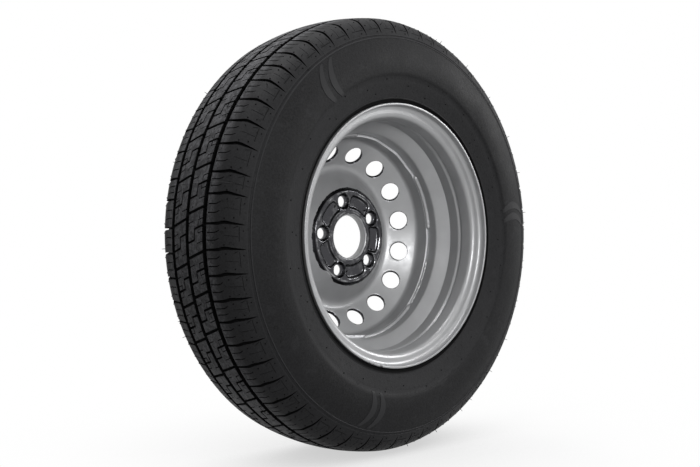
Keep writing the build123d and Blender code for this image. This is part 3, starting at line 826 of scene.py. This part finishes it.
class TyreSettings(bpy.types.PropertyGroup):
    rubber_colour: FloatVectorProperty(
        name="Rubber", description="Colour of the tyre's rubber", subtype="COLOR", size=3,
        default=(0.0085, 0.0085, 0.009), min=0.0, max=1.0)
    bloom_colour: FloatVectorProperty(
        name="Bloom", description="Colour of the paler clouds in the rubber", subtype="COLOR", size=3,
        default=(0.0175, 0.0175, 0.0185), min=0.0, max=1.0)
    # Painted shade: this colour of the rubber down in the grooves and cuts stands in for the shade there.
    groove_shade_colour: FloatVectorProperty(
        name="Hollows", description="Colour of the rubber down in the grooves and cuts",
        subtype="COLOR", size=3, default=(0.002, 0.002, 0.0021), min=0.0, max=1.0)
    groove_depth: FloatProperty(
        name="Groove depth", description="Depth of the grooves round the tyre", default=0.0076, unit="LENGTH")
    slot_depth: FloatProperty(
        name="Slot depth", description="Depth of the slots across the middle ribs",
        default=0.0064, unit="LENGTH")
    slot_width: FloatProperty(
        name="Slot width", description="Width of the slots across the middle ribs",
        default=0.0042, unit="LENGTH")
    sipe_depth: FloatProperty(
        name="Sipe depth", description="Depth of the fine cuts in the blocks", default=0.003, unit="LENGTH")
    arc_width: FloatProperty(
        name="Arc width", description="Width of the arcs across the sidewalls", default=0.0118, unit="LENGTH")
    arc_height: FloatProperty(
        name="Arc height", description="Height of the arcs over the sidewalls", default=0.0006, unit="LENGTH")


class WheelSettings(bpy.types.PropertyGroup):
    paint_colour: FloatVectorProperty(
        name="Paint", description="Colour of the silver paint", subtype="COLOR", size=3,
        default=(0.375, 0.378, 0.385), min=0.0, max=1.0)
    coat_colour: FloatVectorProperty(
        name="Primer", description="Colour of the dark coat on the hub pad and in chips",
        subtype="COLOR", size=3, default=(0.006, 0.006, 0.0065), min=0.0, max=1.0)
    rim_sheet: FloatProperty(
        name="Rim sheet", description="Thickness of the rim's sheet", default=0.003, unit="LENGTH")
    disc_sheet: FloatProperty(
        name="Disc sheet", description="Thickness of the disc's sheet", default=0.004, unit="LENGTH")
    vent_diameter: FloatProperty(
        name="Vent diameter", description="Diameter of the sixteen vents", default=0.029, unit="LENGTH")
    bolt_hole_diameter: FloatProperty(
        name="Bolt hole", description="Diameter of the five bolt holes", default=0.0165, unit="LENGTH")


class ValveSettings(bpy.types.PropertyGroup):
    rubber_colour: FloatVectorProperty(
        name="Valve rubber", description="Colour of the valve's moulded body", subtype="COLOR", size=3,
        default=(0.022, 0.022, 0.023), min=0.0, max=1.0)
    brass_colour: FloatVectorProperty(
        name="Brass", description="Colour of the stem and the core", subtype="COLOR", size=3,
        default=(0.72, 0.52, 0.24), min=0.0, max=1.0)
    cap_colour: FloatVectorProperty(
        name="Cap", description="Colour of the dust cap", subtype="COLOR", size=3,
        default=(0.02, 0.02, 0.021), min=0.0, max=1.0)


class StageSettings(bpy.types.PropertyGroup):
    floor_colour: FloatVectorProperty(
        name="Floor", description="Colour of the floor", subtype="COLOR", size=3,
        default=(0.16, 0.16, 0.16), min=0.0, max=1.0)
    key_power: FloatProperty(
        name="Key light", description="Power of the large light over the tread", default=55.0, unit="POWER")
    front_power: FloatProperty(
        name="Front light", description="Power of the light that looks into the wheel",
        default=31.0, unit="POWER")
    side_power: FloatProperty(
        name="Side light", description="Power of the light that skims the sidewall",
        default=25.0, unit="POWER")
    sky_strength: FloatProperty(
        name="Sky", description="Strength of the even light from all round", default=0.1, min=0.0)


class WHEEL_OT_make_tyre(bpy.types.Operator):
    """Moulds the tyre: carved ribs and shoulders, sidewalls, beads and liner in one skin"""
    bl_idname = "wheel.make_tyre"
    bl_label = "Make Tyre"

    def execute(self, context):
        settings = context.scene.tyre_settings
        line = TreadLine()
        bm = bmesh.new()
        bm.verts.layers.float.new("sunk")
        rib_unit = tau * TYRE_R / sum(RIB_UNITS[letter] for letter in RIB_PITCHES)
        shoulder_unit = tau * TYRE_R / sum(SHOULDER_UNITS[letter] for letter in SHOULDER_PITCHES)
        ribs = {letter: rib_tile(rib_unit * count, settings) for letter, count in RIB_UNITS.items()}
        blocks = {
            letter: shoulder_tile(shoulder_unit * count, settings)
            for letter, count in SHOULDER_UNITS.items()}
        for side, rib_turn, block_turn in (
                (1, RIB_TURN, SHOULDER_TURN), (-1, RIB_TURN + RIB_SHIFT, SHOULDER_TURN + SHOULDER_SHIFT)):
            lay_tiles(bm, line, ribs, RIB_PITCHES, RIB_UNITS, rib_turn, side, skew=RIB_SKEW)
            lay_tiles(bm, line, blocks, SHOULDER_PITCHES, SHOULDER_UNITS, block_turn, side, shoulder=True)
        merge(bm, 0.004)
        wall_start = line.at(WALL_START)
        half = [
            tuple(wall_start), *[tuple(line.at(*place)) for place in EDGE_STEP], *wall_line(), *BEAD_LIP,
            *BEAD_CURL, *BEAD_SEAT, *smooth_line(LINER, 20.0)]
        other_half = [(radius, -y) for radius, y in reversed(half)]
        walls = bmesh.new()
        spin(walls, draw_line(walls, [*half, LINER_CROWN, *other_half]), 300)
        merge(walls, 0.002)
        add_mesh(bm, walls)
        floor = -settings.groove_depth / MM
        middle = line.at(RIB_TILE[0], floor)
        join_rings(bm, middle, middle * Vector((1, -1)))
        for sign in (1, -1):
            turn = Vector((1, sign))
            join_rings(bm, line.at(RIB_TILE[1], floor) * turn, line.at(SHOULDER_START, floor) * turn)
            join_rings(bm, line.at(TREAD_EDGE) * turn, wall_start * turn)
        bmesh.ops.dissolve_degenerate(bm, dist=0.001, edges=bm.edges[:])
        loose = [edge for edge in bm.edges if not edge.is_manifold]
        if loose:
            raise RuntimeError(f"the tyre's skin has {len(loose)} open edges")
        make_piece("tyre_casing", bm, tyre_rubber(settings), stands_for=["tyre"])
        return {"FINISHED"}


def wall_line():
    """The skin of a sidewall from the tread's edge to the bead, with its step."""
    return smooth_line(UPPER_WALL, 5.5) + smooth_line(LOWER_WALL, 5.0)


def wall_point(wall, radius, angle, height, side):
    """A point over the skin of a sidewall, whose other side is the same turned half round."""
    return on_wheel(radius, -side * (ramp(wall, radius) + height), side * angle)


def arc_rib(wall, turn, side, settings):
    """One flat rib that bows across a sidewall from the step to the shoulder."""
    bm = bmesh.new()
    bmesh.ops.create_grid(bm, x_segments=24, y_segments=3, size=0.5)
    raised = new_points(bmesh.ops.extrude_face_region(bm, geom=bm.faces[:])["geom"])
    bmesh.ops.translate(bm, verts=raised, vec=(0, 0, 1))
    first, last = ARC_ENDS
    for vert in bm.verts:
        along, across, level = vert.co
        radius = first + (along + 0.5) * (last - first)
        bow = 1.45 - 0.0036 * (radius - ARC_CREST) ** 2
        width = settings.arc_width / MM * (1.0 - 1.8 * along * along) - 0.9 * level
        height = settings.arc_height / MM if level > 0.5 else -0.5
        vert.co = wall_point(wall, radius, turn + bow + degrees(across * width / radius), height, side)
    return bm


def mould_stub(bm, place, normal, radius, height, tip):
    """Adds the short stub, or the long hair, that a vent of the mould leaves."""
    turn = normal.to_track_quat("Z", "Y").to_matrix().to_4x4()
    bmesh.ops.create_cone(bm, cap_ends=True, segments=8, radius1=radius, radius2=tip, depth=height,
                          matrix=Matrix.Translation(place + normal * height * 0.4) @ turn)


class WHEEL_OT_make_mould_marks(bpy.types.Operator):
    """Adds what the mould leaves on the tyre: the arcs on its sidewalls, vent stubs and a few rubber hairs"""
    bl_idname = "wheel.make_mould_marks"
    bl_label = "Make Mould Marks"

    def execute(self, context):
        settings = context.scene.tyre_settings
        wall = sorted(tuple(point) for point in wall_line())
        ribs, stubs = bmesh.new(), bmesh.new()
        for side in (1, -1):
            for turn in ARC_TURNS:
                add_mesh(ribs, arc_rib(wall, turn, side, settings))
            for radius, angles in STUB_RINGS:
                for angle in angles:
                    place = wall_point(wall, radius, angle, 0.0, side)
                    mould_stub(stubs, place, Vector((0, -side, 0)), *WALL_STUB)
            self.stub_shoulder(stubs, side)
        # The arcs are paler for a painted sheen.
        pale = shade(settings.bloom_colour, 1.35)
        smooth = fine_material("smooth_rubber", pale, 0.56, 0.0, 300.0, 0.8, gloss=0.12)
        # The stubs and hairs take the painted groove shade, as dark as the shade in the vents' small pits.
        cut = fine_material("cut_rubber", settings.groove_shade_colour, 0.8, 0.0, 900.0, 0.2, gloss=0.05)
        make_piece("sidewall_arcs", ribs, smooth)
        make_piece("mould_stubs", stubs, cut)
        return {"FINISHED"}

    @staticmethod
    def stub_shoulder(stubs, side):
        """Sets four stubs on each shoulder block, and a hair in place of one of them now and then."""
        line = TreadLine()
        unit = 360.0 / sum(SHOULDER_UNITS[letter] for letter in SHOULDER_PITCHES)
        angle = SHOULDER_TURN if side == 1 else SHOULDER_TURN + SHOULDER_SHIFT
        for block, letter in enumerate(SHOULDER_PITCHES):
            for row, (across, share) in enumerate(SHOULDER_STUBS):
                turn = angle + unit * SHOULDER_UNITS[letter] * (share if side == 1 else 1.0 - share)
                turn += side * degrees(ramp(HOOK, across) / TYRE_R)
                places = [line.at(across, height) * Vector((1, -side)) for height in (0.0, 1.0)]
                base, top = [on_wheel(*place, turn) for place in places]
                hair = row < 2 and (block * 7 + row * 5) % 11 in HAIR_PLACES[side]
                mould_stub(stubs, base, (top - base).normalized(), *(HAIR if hair else SHOULDER_STUB))
            angle += unit * SHOULDER_UNITS[letter]


class WHEEL_OT_make_rim(bpy.types.Operator):
    """Rolls the rim from one sheet and punches its valve hole"""
    bl_idname = "wheel.make_rim"
    bl_label = "Make Rim"

    def execute(self, context):
        settings = context.scene.wheel_settings
        bm = bmesh.new()
        edges = draw_line(bm, RIM_LINE, RIM_BENDS)
        spin(bm, split_edges(bm, edges, 8.0), 300)
        thicken(bm, settings.rim_sheet / MM, inwards=True)
        soften_sheet_edges(bm, 0.8)
        rim = make_piece("rolled_rim", bm, silver_paint(settings), stands_for=["rim"])
        cutter = bmesh.new()
        bmesh.ops.create_cone(cutter, cap_ends=True, segments=48, radius1=VALVE_HOLE_R, radius2=VALVE_HOLE_R,
                              depth=24.0, matrix=valve_matrix())
        cut_piece(rim, cutter)
        return {"FINISHED"}


def thicken(bm, thickness, inwards):
    """Gives an open skin its sheet thickness, to the side of the axis or away from it."""
    merge(bm)
    bmesh.ops.recalc_face_normals(bm, faces=bm.faces[:])
    bm.faces.ensure_lookup_table()
    face = max(bm.faces, key=lambda part: part.calc_center_median().y)
    middle = face.calc_center_median()
    outwards = face.normal.dot(Vector((middle.x, 0, middle.z))) > 0
    if outwards != inwards:
        bmesh.ops.reverse_faces(bm, faces=bm.faces[:])
    bmesh.ops.solidify(bm, geom=bm.faces[:], thickness=thickness)


def soften_sheet_edges(bm, size):
    """Rounds the cut edges of a sheet."""
    sharp = [edge for edge in bm.edges if edge.is_manifold and edge.calc_face_angle() > radians(60)]
    bmesh.ops.bevel(
        bm, geom=sharp, offset=size, offset_type="OFFSET", segments=3, profile=0.5, affect="EDGES",
        material=-1)


def valve_matrix(height=0.0):
    """The valve's own frame in millimetres, with Z along the valve."""
    turn = VALVE_AXIS.to_track_quat("Z", "Y").to_matrix().to_4x4()
    return Matrix.Translation(on_wheel(*VALVE_FOOT) + VALVE_AXIS * height) @ turn


def press_depth(radius, angle):
    """How far the pad is pressed outboard at a place: bolt dishes, and pockets between them."""
    depth = 0.0
    for i in range(5):
        bolt = radians(BOLT_TURN + 72.0 * i)
        x = radius * cos(angle) - BOLT_CIRCLE_R * cos(bolt)
        z = radius * sin(angle) - BOLT_CIRCLE_R * sin(bolt)
        depth = max(depth, DISH_DEPTH * ease((DISH_R - hypot(x, z)) / DISH_WALL))
        turn = (angle - bolt - radians(36.0) + pi) % tau - pi
        across = abs(radius - POCKET_R) - POCKET_HALF + POCKET_CORNER
        along = abs(turn) * radius - radians(POCKET_ARC) * POCKET_R + POCKET_CORNER
        edge = hypot(max(across, 0.0), max(along, 0.0)) + min(max(across, along), 0.0) - POCKET_CORNER
        depth = max(depth, POCKET_DEPTH * ease(0.5 - edge / POCKET_WALL))
    return depth


class WHEEL_OT_make_disc(bpy.types.Operator):
    """Presses the disc with its bolt dishes and pockets, and punches its vents and bolt holes"""
    bl_idname = "wheel.make_disc"
    bl_label = "Make Disc"

    def execute(self, context):
        settings = context.scene.wheel_settings
        sheet = settings.disc_sheet / MM
        bm = bmesh.new()
        edges = draw_line(bm, DISC_LINE, DISC_BENDS)
        pad = [edge for edge in edges
               if all(vert.co.x < 75.0 and abs(vert.co.y - PAD_Y) < 0.1 for vert in edge.verts)]
        pad = split_edges(bm, pad, 1.0)
        rest = split_edges(bm, [edge for edge in edges if edge.is_valid and edge not in pad], 7.0)
        spin(bm, [*pad, *rest], 360)
        merge(bm)
        for vert in bm.verts:
            radius, angle = hypot(vert.co.x, vert.co.z), atan2(vert.co.z, vert.co.x)
            if radius < PAD_R and vert.co.y < PAD_Y + 3.0:
                vert.co.y += press_depth(radius, angle)
            if radius > FLANGE_R and vert.co.y < WAVE_TOP:
                edge_y = DISC_LINE[-1][1]
                dip = ramp(FREE_EDGE, degrees(angle) % 360.0) - edge_y
                vert.co.y += dip * (WAVE_TOP - vert.co.y) / (WAVE_TOP - edge_y)
        thicken(bm, sheet, inwards=False)
        soften_sheet_edges(bm, 0.7)
        disc = make_piece("pressed_disc", bm, silver_paint(settings, coat=True),
                          stands_for=["wheel_disc"])
        cutter = bmesh.new()
        for i in range(5):
            add_mesh(cutter, bolt_hole(settings.bolt_hole_diameter / MM / 2, BOLT_TURN + 72.0 * i))
        for i in range(16):
            add_mesh(cutter, vent_hole(settings.vent_diameter / MM / 2, i))
        cut_piece(disc, cutter)
        mark_coat(disc, settings.vent_diameter / MM / 2 + VENT_ROLL)
        return {"FINISHED"}


def bolt_hole(radius, angle):
    """A cutter for one bolt hole and the coned seat on its outboard side."""
    mouth_r, mouth_y = 9.75, 43.9
    slope = tan(radians(30.0))
    bm = bmesh.new()
    spin(bm, draw_line(bm, [
        (0.0, 20.0), (radius, 20.0), (radius, mouth_y - (mouth_r - radius) / slope),
        (mouth_r + 1.0, mouth_y + 1.0 / slope), (mouth_r + 1.0, 60.0), (0.0, 60.0)]), 48)
    merge(bm)
    bmesh.ops.translate(bm, vec=on_wheel(BOLT_CIRCLE_R, 0.0, angle), verts=bm.verts[:])
    return bm


def vent_frame(i):
    """The frame of one vent, with Y along its axis towards the outboard side."""
    turn = Matrix.Rotation(radians(-VENT_TURN - 22.5 * i), 4, "Y")
    tilt = Matrix.Rotation(radians(-VENT_SLOPE), 4, "Z")
    return turn @ Matrix.Translation((VENT_CIRCLE_R, VENT_Y, 0)) @ tilt


def vent_hole(radius, i):
    """A cutter for one vent, which opens out where the punch went in."""
    bm = bmesh.new()
    spin(bm, draw_line(bm, [
        (0.0, -16.0), (radius + 2.6, -16.0), (radius + 2.6, -2.5), (radius + 1.2, -2.0), (radius + 0.4, -1.2),
        (radius, -0.2), (radius, 16.0), (0.0, 16.0)]), 48)
    merge(bm)
    place_mesh(bm, vent_frame(i))
    return bm


def hump(value, low, middle, high):
    """Rises from 0 to 1 and falls again, straight on both sides of the middle."""
    return max(min((value - low) / (middle - low), (high - value) / (high - middle)), 0.0)


def mark_coat(disc, vent_reach):
    """Marks how far inside the dark coat each point lies, the coat's walls for painted shade, its edges for
    painted highlights, the vents' edges for painted shade and the flange's free edge for a painted highlight.
    """
    names = ("coat_reach", "pressed_wall", "worn_edge", "cut_edge", "free_edge")
    for name in names:
        disc.data.attributes.new(name, "FLOAT", "POINT")
    reach, wall, highlight, cut, free = [disc.data.attributes[name].data for name in names]
    into_vent = [vent_frame(i).inverted() for i in range(16)]
    for i, vert in enumerate(disc.data.vertices):
        place = vert.co / MM
        radius, angle = hypot(place.x, place.z), degrees(atan2(place.z, place.x)) % 360.0
        pressed = press_depth(radius, radians(angle)) if radius < PAD_R else max(radius - 71.0, 0.0)
        bite = 5.0 * ease(1.0 - abs(angle - COAT_BITE) / 15.0)
        inside = min(COAT_R - bite - radius, radius - 36.0)
        reach[i].value = inside if place.y - PAD_Y - pressed < 2.4 else -10.0
        share = min(pressed / POCKET_DEPTH, 1.0)
        # Painted shade on the pressed walls and on the bend round the pad.
        wall[i].value = max(hump(share, 0.12, 0.5, 1.0), hump(radius, 71.5, 74.0, 80.0))
        # Painted highlight lines along the edges of the pockets and dishes, the pad's outer land and the ring
        # by the bore.
        highlight[i].value = max(0.9 * hump(share, 0.0, 0.06, 0.2), 0.35 * hump(share, 0.8, 0.95, 1.0),
                            0.9 * hump(radius, 68.2, 69.8, 71.6), 0.6 * hump(radius, 37.0, 38.6, 40.6))
        local = into_vent[round((angle - VENT_TURN) / 22.5) % 16] @ place
        # Painted shade on the vents' drawn-in edges.
        cut[i].value = 1.0 if hypot(local.x, local.z) < vent_reach else 0.0
        # Painted highlight on the flange's free edge.
        free[i].value = 1.0 if radius > FLANGE_R and place.y < ramp(FREE_EDGE, angle) + 0.9 else 0.0


class WHEEL_OT_make_welds(bpy.types.Operator):
    """Lays the weld beads that hold the disc's edge in the rim"""
    bl_idname = "wheel.make_welds"
    bl_label = "Make Welds"

    def execute(self, context):
        settings = context.scene.wheel_settings
        bm = bmesh.new()
        for start, end in WELD_ANGLES + TORN_ANGLES:
            torn = (start, end) in TORN_ANGLES
            bead = bmesh.new()
            section = bead.faces.new([bead.verts.new((*place, 0.0)) for place in WELD_OUTLINE])
            turn = Matrix.Rotation(radians(-start), 3, "Y")
            bmesh.ops.rotate(bead, verts=bead.verts[:], cent=(0, 0, 0), matrix=turn)
            bmesh.ops.spin(
                bead, geom=[section, *section.edges, *section.verts], cent=(0, 0, 0), axis=(0, -1, 0),
                angle=radians(end - start), steps=round((end - start) / 0.6))
            for vert in bead.verts:
                angle = degrees(atan2(vert.co.z, vert.co.x)) % 360.0
                reach = ease(min(angle - start, end - angle) / 2.4 + 0.12)
                if torn:
                    ripple = 0.5 + 0.22 * noise.noise(Vector((angle * 2.6, start, vert.co.y)))
                else:
                    rough = 0.12 * noise.noise(Vector((angle * 0.6, start, 0.0)))
                    ripple = 1.0 + 0.05 * sin(angle * 4.6) + rough
                swell = min(reach * ripple, 1.12)
                radius, y = WELD_CORNER.lerp(Vector((hypot(vert.co.x, vert.co.z), vert.co.y)), swell)
                vert.co = on_wheel(radius, y, angle)
            add_mesh(bm, bead)
        paint = silver_paint(settings)
        make_piece("weld_beads", bm, paint, stands_for=["disc_welds"], crease=60.0)
        return {"FINISHED"}


def turn_valve_piece(line, steps=64, bends=()):
    """A valve piece turned from (radius, height) points round the valve's axis."""
    bm = bmesh.new()
    edges = draw_line(bm, line, bends, segments=3)
    place_mesh(bm, Matrix.Rotation(radians(90.0), 4, "X"))
    spin(bm, edges, steps, axis=(0, 0, 1))
    merge(bm)
    return bm


class WHEEL_OT_make_valve(bpy.types.Operator):
    """Moulds the snap-in valve, turns its threaded stem and ribbed cap and finishes its inner pieces"""
    bl_idname = "wheel.make_valve"
    bl_label = "Make Valve"

    def execute(self, context):
        settings = context.scene.valve_settings
        rubber = fine_material("valve_rubber", settings.rubber_colour, 0.5, 0.0, 700.0, 0.2)
        brass = fine_material("valve_brass", settings.brass_colour, 0.28, 1.0, 900.0, 0.1)
        seal = fine_material("seal_rubber", SEAL_COLOUR, 0.55, 0.0, 900.0, 0.2)
        steel = fine_material("spring_steel", STEEL_COLOUR, 0.25, 1.0, 900.0, 0.1)
        plastic = fine_material("cap_plastic", settings.cap_colour, 0.42, 0.0, 1100.0, 0.15)
        body = turn_valve_piece(BODY_LINE, bends=BODY_BENDS)
        place_mesh(body, valve_matrix())
        make_piece("valve_rubber_body", body, rubber, stands_for=["valve_body"])
        stem = turn_valve_piece(STEM_LINE)
        self.cut_thread(stem)
        place_mesh(stem, valve_matrix())
        make_piece("valve_threaded_stem", stem, brass, stands_for=["valve_stem"])
        cap = turn_valve_piece(CAP_LINE, steps=CAP_STEPS)
        add_mesh(cap, turn_valve_piece(CAP_INSIDE, steps=CAP_STEPS))
        for vert in cap.verts:
            radius, angle = hypot(vert.co.x, vert.co.y), atan2(vert.co.y, vert.co.x)
            if radius > 4.95 and round(degrees(angle) / 3.75) % 4 < 2:
                vert.co.xy *= (radius + CAP_RIB) / radius
        merge(cap)
        place_mesh(cap, valve_matrix())
        make_piece("valve_ribbed_cap", cap, plastic, body="cap", stands_for=["valve_cap"])
        self.wind_spring(steel)
        for node, material in (
                ("valve_core_barrel", brass), ("valve_core_pin", brass), ("valve_core_seal", seal),
                ("valve_pin_seal", seal), ("valve_cap_seal", seal)):
            part = frame["nodes"][node]
            part.data.materials.clear()
            part.data.materials.append(material)
        return {"FINISHED"}

    @staticmethod
    def wind_spring(steel):
        """Winds the core's spring at its rest length."""
        low, top, seat, stroke = 26.89, 32.36, 26.55, 1.2
        turns, steps, coil_r, wire_r = 3, 32, 1.215, 0.17
        bm = bmesh.new()
        turn = Matrix.Rotation(radians(90.0), 4, "X")
        bmesh.ops.create_circle(bm, cap_ends=True, segments=10, radius=wire_r,
                                matrix=Matrix.Translation((coil_r, 0, low)) @ turn)
        bmesh.ops.spin(bm, geom=[*bm.verts, *bm.edges, *bm.faces], cent=(0, 0, 0), axis=(0, 0, 1),
                       dvec=(0, 0, (top - low) / (turns * steps)), angle=tau * turns, steps=turns * steps)
        place_mesh(bm, valve_matrix())
        spring = make_piece("core_coil_spring", bm, steel, stands_for=["valve_core_spring"])
        anchor = valve_matrix(seat).to_translation() * MM
        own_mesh(spring)

    @staticmethod
    def cut_thread(stem):
        """Winds the thread's ridge round the stem's end."""
        pitch, turns, steps = 0.8, 13, 24
        low, crest = 24.0, 3.85
        ridge = [(3.3, 0.0), (3.3, 0.82), (crest, 0.48), (crest, 0.34)]
        section = stem.faces.new([
            stem.verts.new((radius, 0, low + pitch * share)) for radius, share in ridge])
        bmesh.ops.spin(stem, geom=[section, *section.edges, *section.verts], cent=(0, 0, 0), axis=(0, 0, 1),
                       dvec=(0, 0, pitch / steps), angle=tau * turns, steps=turns * steps)


class WHEEL_OT_make_stage(bpy.types.Operator):
    """Sets the floor, the soft lights, the white surroundings and the camera"""
    bl_idname = "wheel.make_stage"
    bl_label = "Make Stage"

    def execute(self, context):
        settings = context.scene.stage_settings
        self.lay_floor(settings)
        self.light_sky(context.scene, settings)
        for name, place, size, power in LIGHTS:
            self.hang_light(name, place, size, getattr(settings, power))
        self.set_camera(context.scene)
        context.scene.view_settings.view_transform = "Standard"
        return {"FINISHED"}

    @staticmethod
    def seen_directly(tree):
        """1 for rays that show the surroundings as they are: from the camera, a reflection or glass."""
        path = add_node(tree, "ShaderNodeLightPath").outputs
        either = Value(tree, path["Is Camera Ray"]).most(path["Is Glossy Ray"])
        return either.most(path["Is Transmission Ray"])

    def lay_floor(self, settings):
        bm = bmesh.new()
        bmesh.ops.create_grid(bm, x_segments=8, y_segments=8, size=12.0)
        mesh = keep_mesh("floor", bm)
        mesh.transform(Matrix.Translation((0, 0, FLOOR_Z)))
        material = bpy.data.materials.new("pale_floor")
        material.use_nodes = True
        tree = material.node_tree
        shader = tree.nodes["Principled BSDF"]
        shader.inputs["Base Color"].default_value = (*settings.floor_colour, 1.0)
        shader.inputs["Roughness"].default_value = 1.0
        shader.inputs["Specular IOR Level"].default_value = 0.0
        # The floor's glow dims where the wheel hides its sky: a painted contact shadow.
        open_sky = add_node(tree, "ShaderNodeAmbientOcclusion", {"Distance": 0.6}, samples=8).outputs["AO"]
        glow = add_node(tree, "ShaderNodeEmission", {
            "Color": (1, 1, 1, 1), "Strength": Value(tree, open_sky).spread(0.0, 0.95, 0.6, 1.0)})
        mixed = add_node(tree, "ShaderNodeMixShader", {
            0: self.seen_directly(tree), 1: shader.outputs["BSDF"], 2: glow.outputs["Emission"]})
        tree.links.new(mixed.outputs["Shader"], tree.nodes["Material Output"].inputs["Surface"])
        floor = bpy.data.objects.new("floor", mesh)
        mesh.materials.append(material)
        bpy.context.scene.collection.objects.link(floor)

    def light_sky(self, scene, settings):
        world = bpy.data.worlds.new("white_surroundings")
        world.use_nodes = True
        tree = world.node_tree
        background = tree.nodes["Background"]
        background.inputs["Color"].default_value = (1, 1, 1, 1)
        self.seen_directly(tree).between(settings.sky_strength, 1.0).drive(background, "Strength")
        scene.world = world

    @staticmethod
    def hang_light(name, place, size, power):
        data = bpy.data.lights.new(name, "AREA")
        data.shape = "DISK"
        data.size = size
        data.energy = power
        light = bpy.data.objects.new(name, data)
        light.location = place
        light.rotation_euler = (-Vector(place)).to_track_quat("-Z", "Y").to_euler()
        bpy.context.scene.collection.objects.link(light)

    @staticmethod
    def set_camera(scene):
        level = cos(CAMERA_RISE)
        back = Vector((sin(CAMERA_TURN) * level, -cos(CAMERA_TURN) * level, sin(CAMERA_RISE)))
        right = Vector((cos(CAMERA_TURN), sin(CAMERA_TURN), 0.0))
        up = back.cross(right)
        tilt, lean = cos(CAMERA_ROLL), sin(CAMERA_ROLL)
        right, up = right * tilt + up * lean, up * tilt - right * lean
        data = bpy.data.cameras.new("camera")
        data.sensor_width = SENSOR_WIDTH
        data.lens = FOCAL_PIXELS * SENSOR_WIDTH / PHOTO_WIDTH
        data.shift_x = SHIFT_PIXELS[0] / PHOTO_WIDTH
        data.shift_y = SHIFT_PIXELS[1] / PHOTO_WIDTH
        camera = bpy.data.objects.new("camera", data)
        place = back * CAMERA_DISTANCE + right * CAMERA_OFFSET[0] + up * CAMERA_OFFSET[1]
        axes = Matrix((right, up, back)).transposed().to_4x4()
        camera.matrix_world = Matrix.Translation(place) @ axes
        scene.collection.objects.link(camera)
        scene.camera = camera


class WHEEL_PT_builder(bpy.types.Panel):
    bl_label = "Trailer Wheel"
    bl_idname = "WHEEL_PT_builder"
    bl_space_type = "VIEW_3D"
    bl_region_type = "UI"
    bl_category = "Trailer Wheel"

    def draw(self, context):
        for name, operators in (
                ("tyre_settings", ["wheel.make_tyre", "wheel.make_mould_marks"]),
                ("wheel_settings", ["wheel.make_rim", "wheel.make_disc", "wheel.make_welds"]),
                ("valve_settings", ["wheel.make_valve"]),
                ("stage_settings", ["wheel.make_stage"])):
            settings = getattr(context.scene, name)
            box = self.layout.box()
            for setting in settings.bl_rna.properties.keys():
                if setting not in ("rna_type", "name"):
                    box.prop(settings, setting)
            for operator in operators:
                box.operator(operator)


SETTINGS = {
    "tyre_settings": TyreSettings,
    "wheel_settings": WheelSettings,
    "valve_settings": ValveSettings,
    "stage_settings": StageSettings,
}
OPERATORS = [WHEEL_OT_make_stage, WHEEL_OT_make_tyre, WHEEL_OT_make_mould_marks, WHEEL_OT_make_rim,
             WHEEL_OT_make_disc, WHEEL_OT_make_welds, WHEEL_OT_make_valve]


def register():
    for part in [*SETTINGS.values(), *OPERATORS, WHEEL_PT_builder]:
        bpy.utils.register_class(part)
    for name, group in SETTINGS.items():
        setattr(bpy.types.Scene, name, PointerProperty(type=group))


def unregister():
    for name in SETTINGS:
        delattr(bpy.types.Scene, name)
    for part in reversed([*SETTINGS.values(), *OPERATORS, WHEEL_PT_builder]):
        bpy.utils.unregister_class(part)


def main():
    register()
    bpy.ops.wheel.make_stage()
    bpy.ops.wheel.make_tyre()
    bpy.ops.wheel.make_mould_marks()
    bpy.ops.wheel.make_rim()
    bpy.ops.wheel.make_disc()
    bpy.ops.wheel.make_welds()
    bpy.ops.wheel.make_valve()


if __name__ == "__main__":
    main()
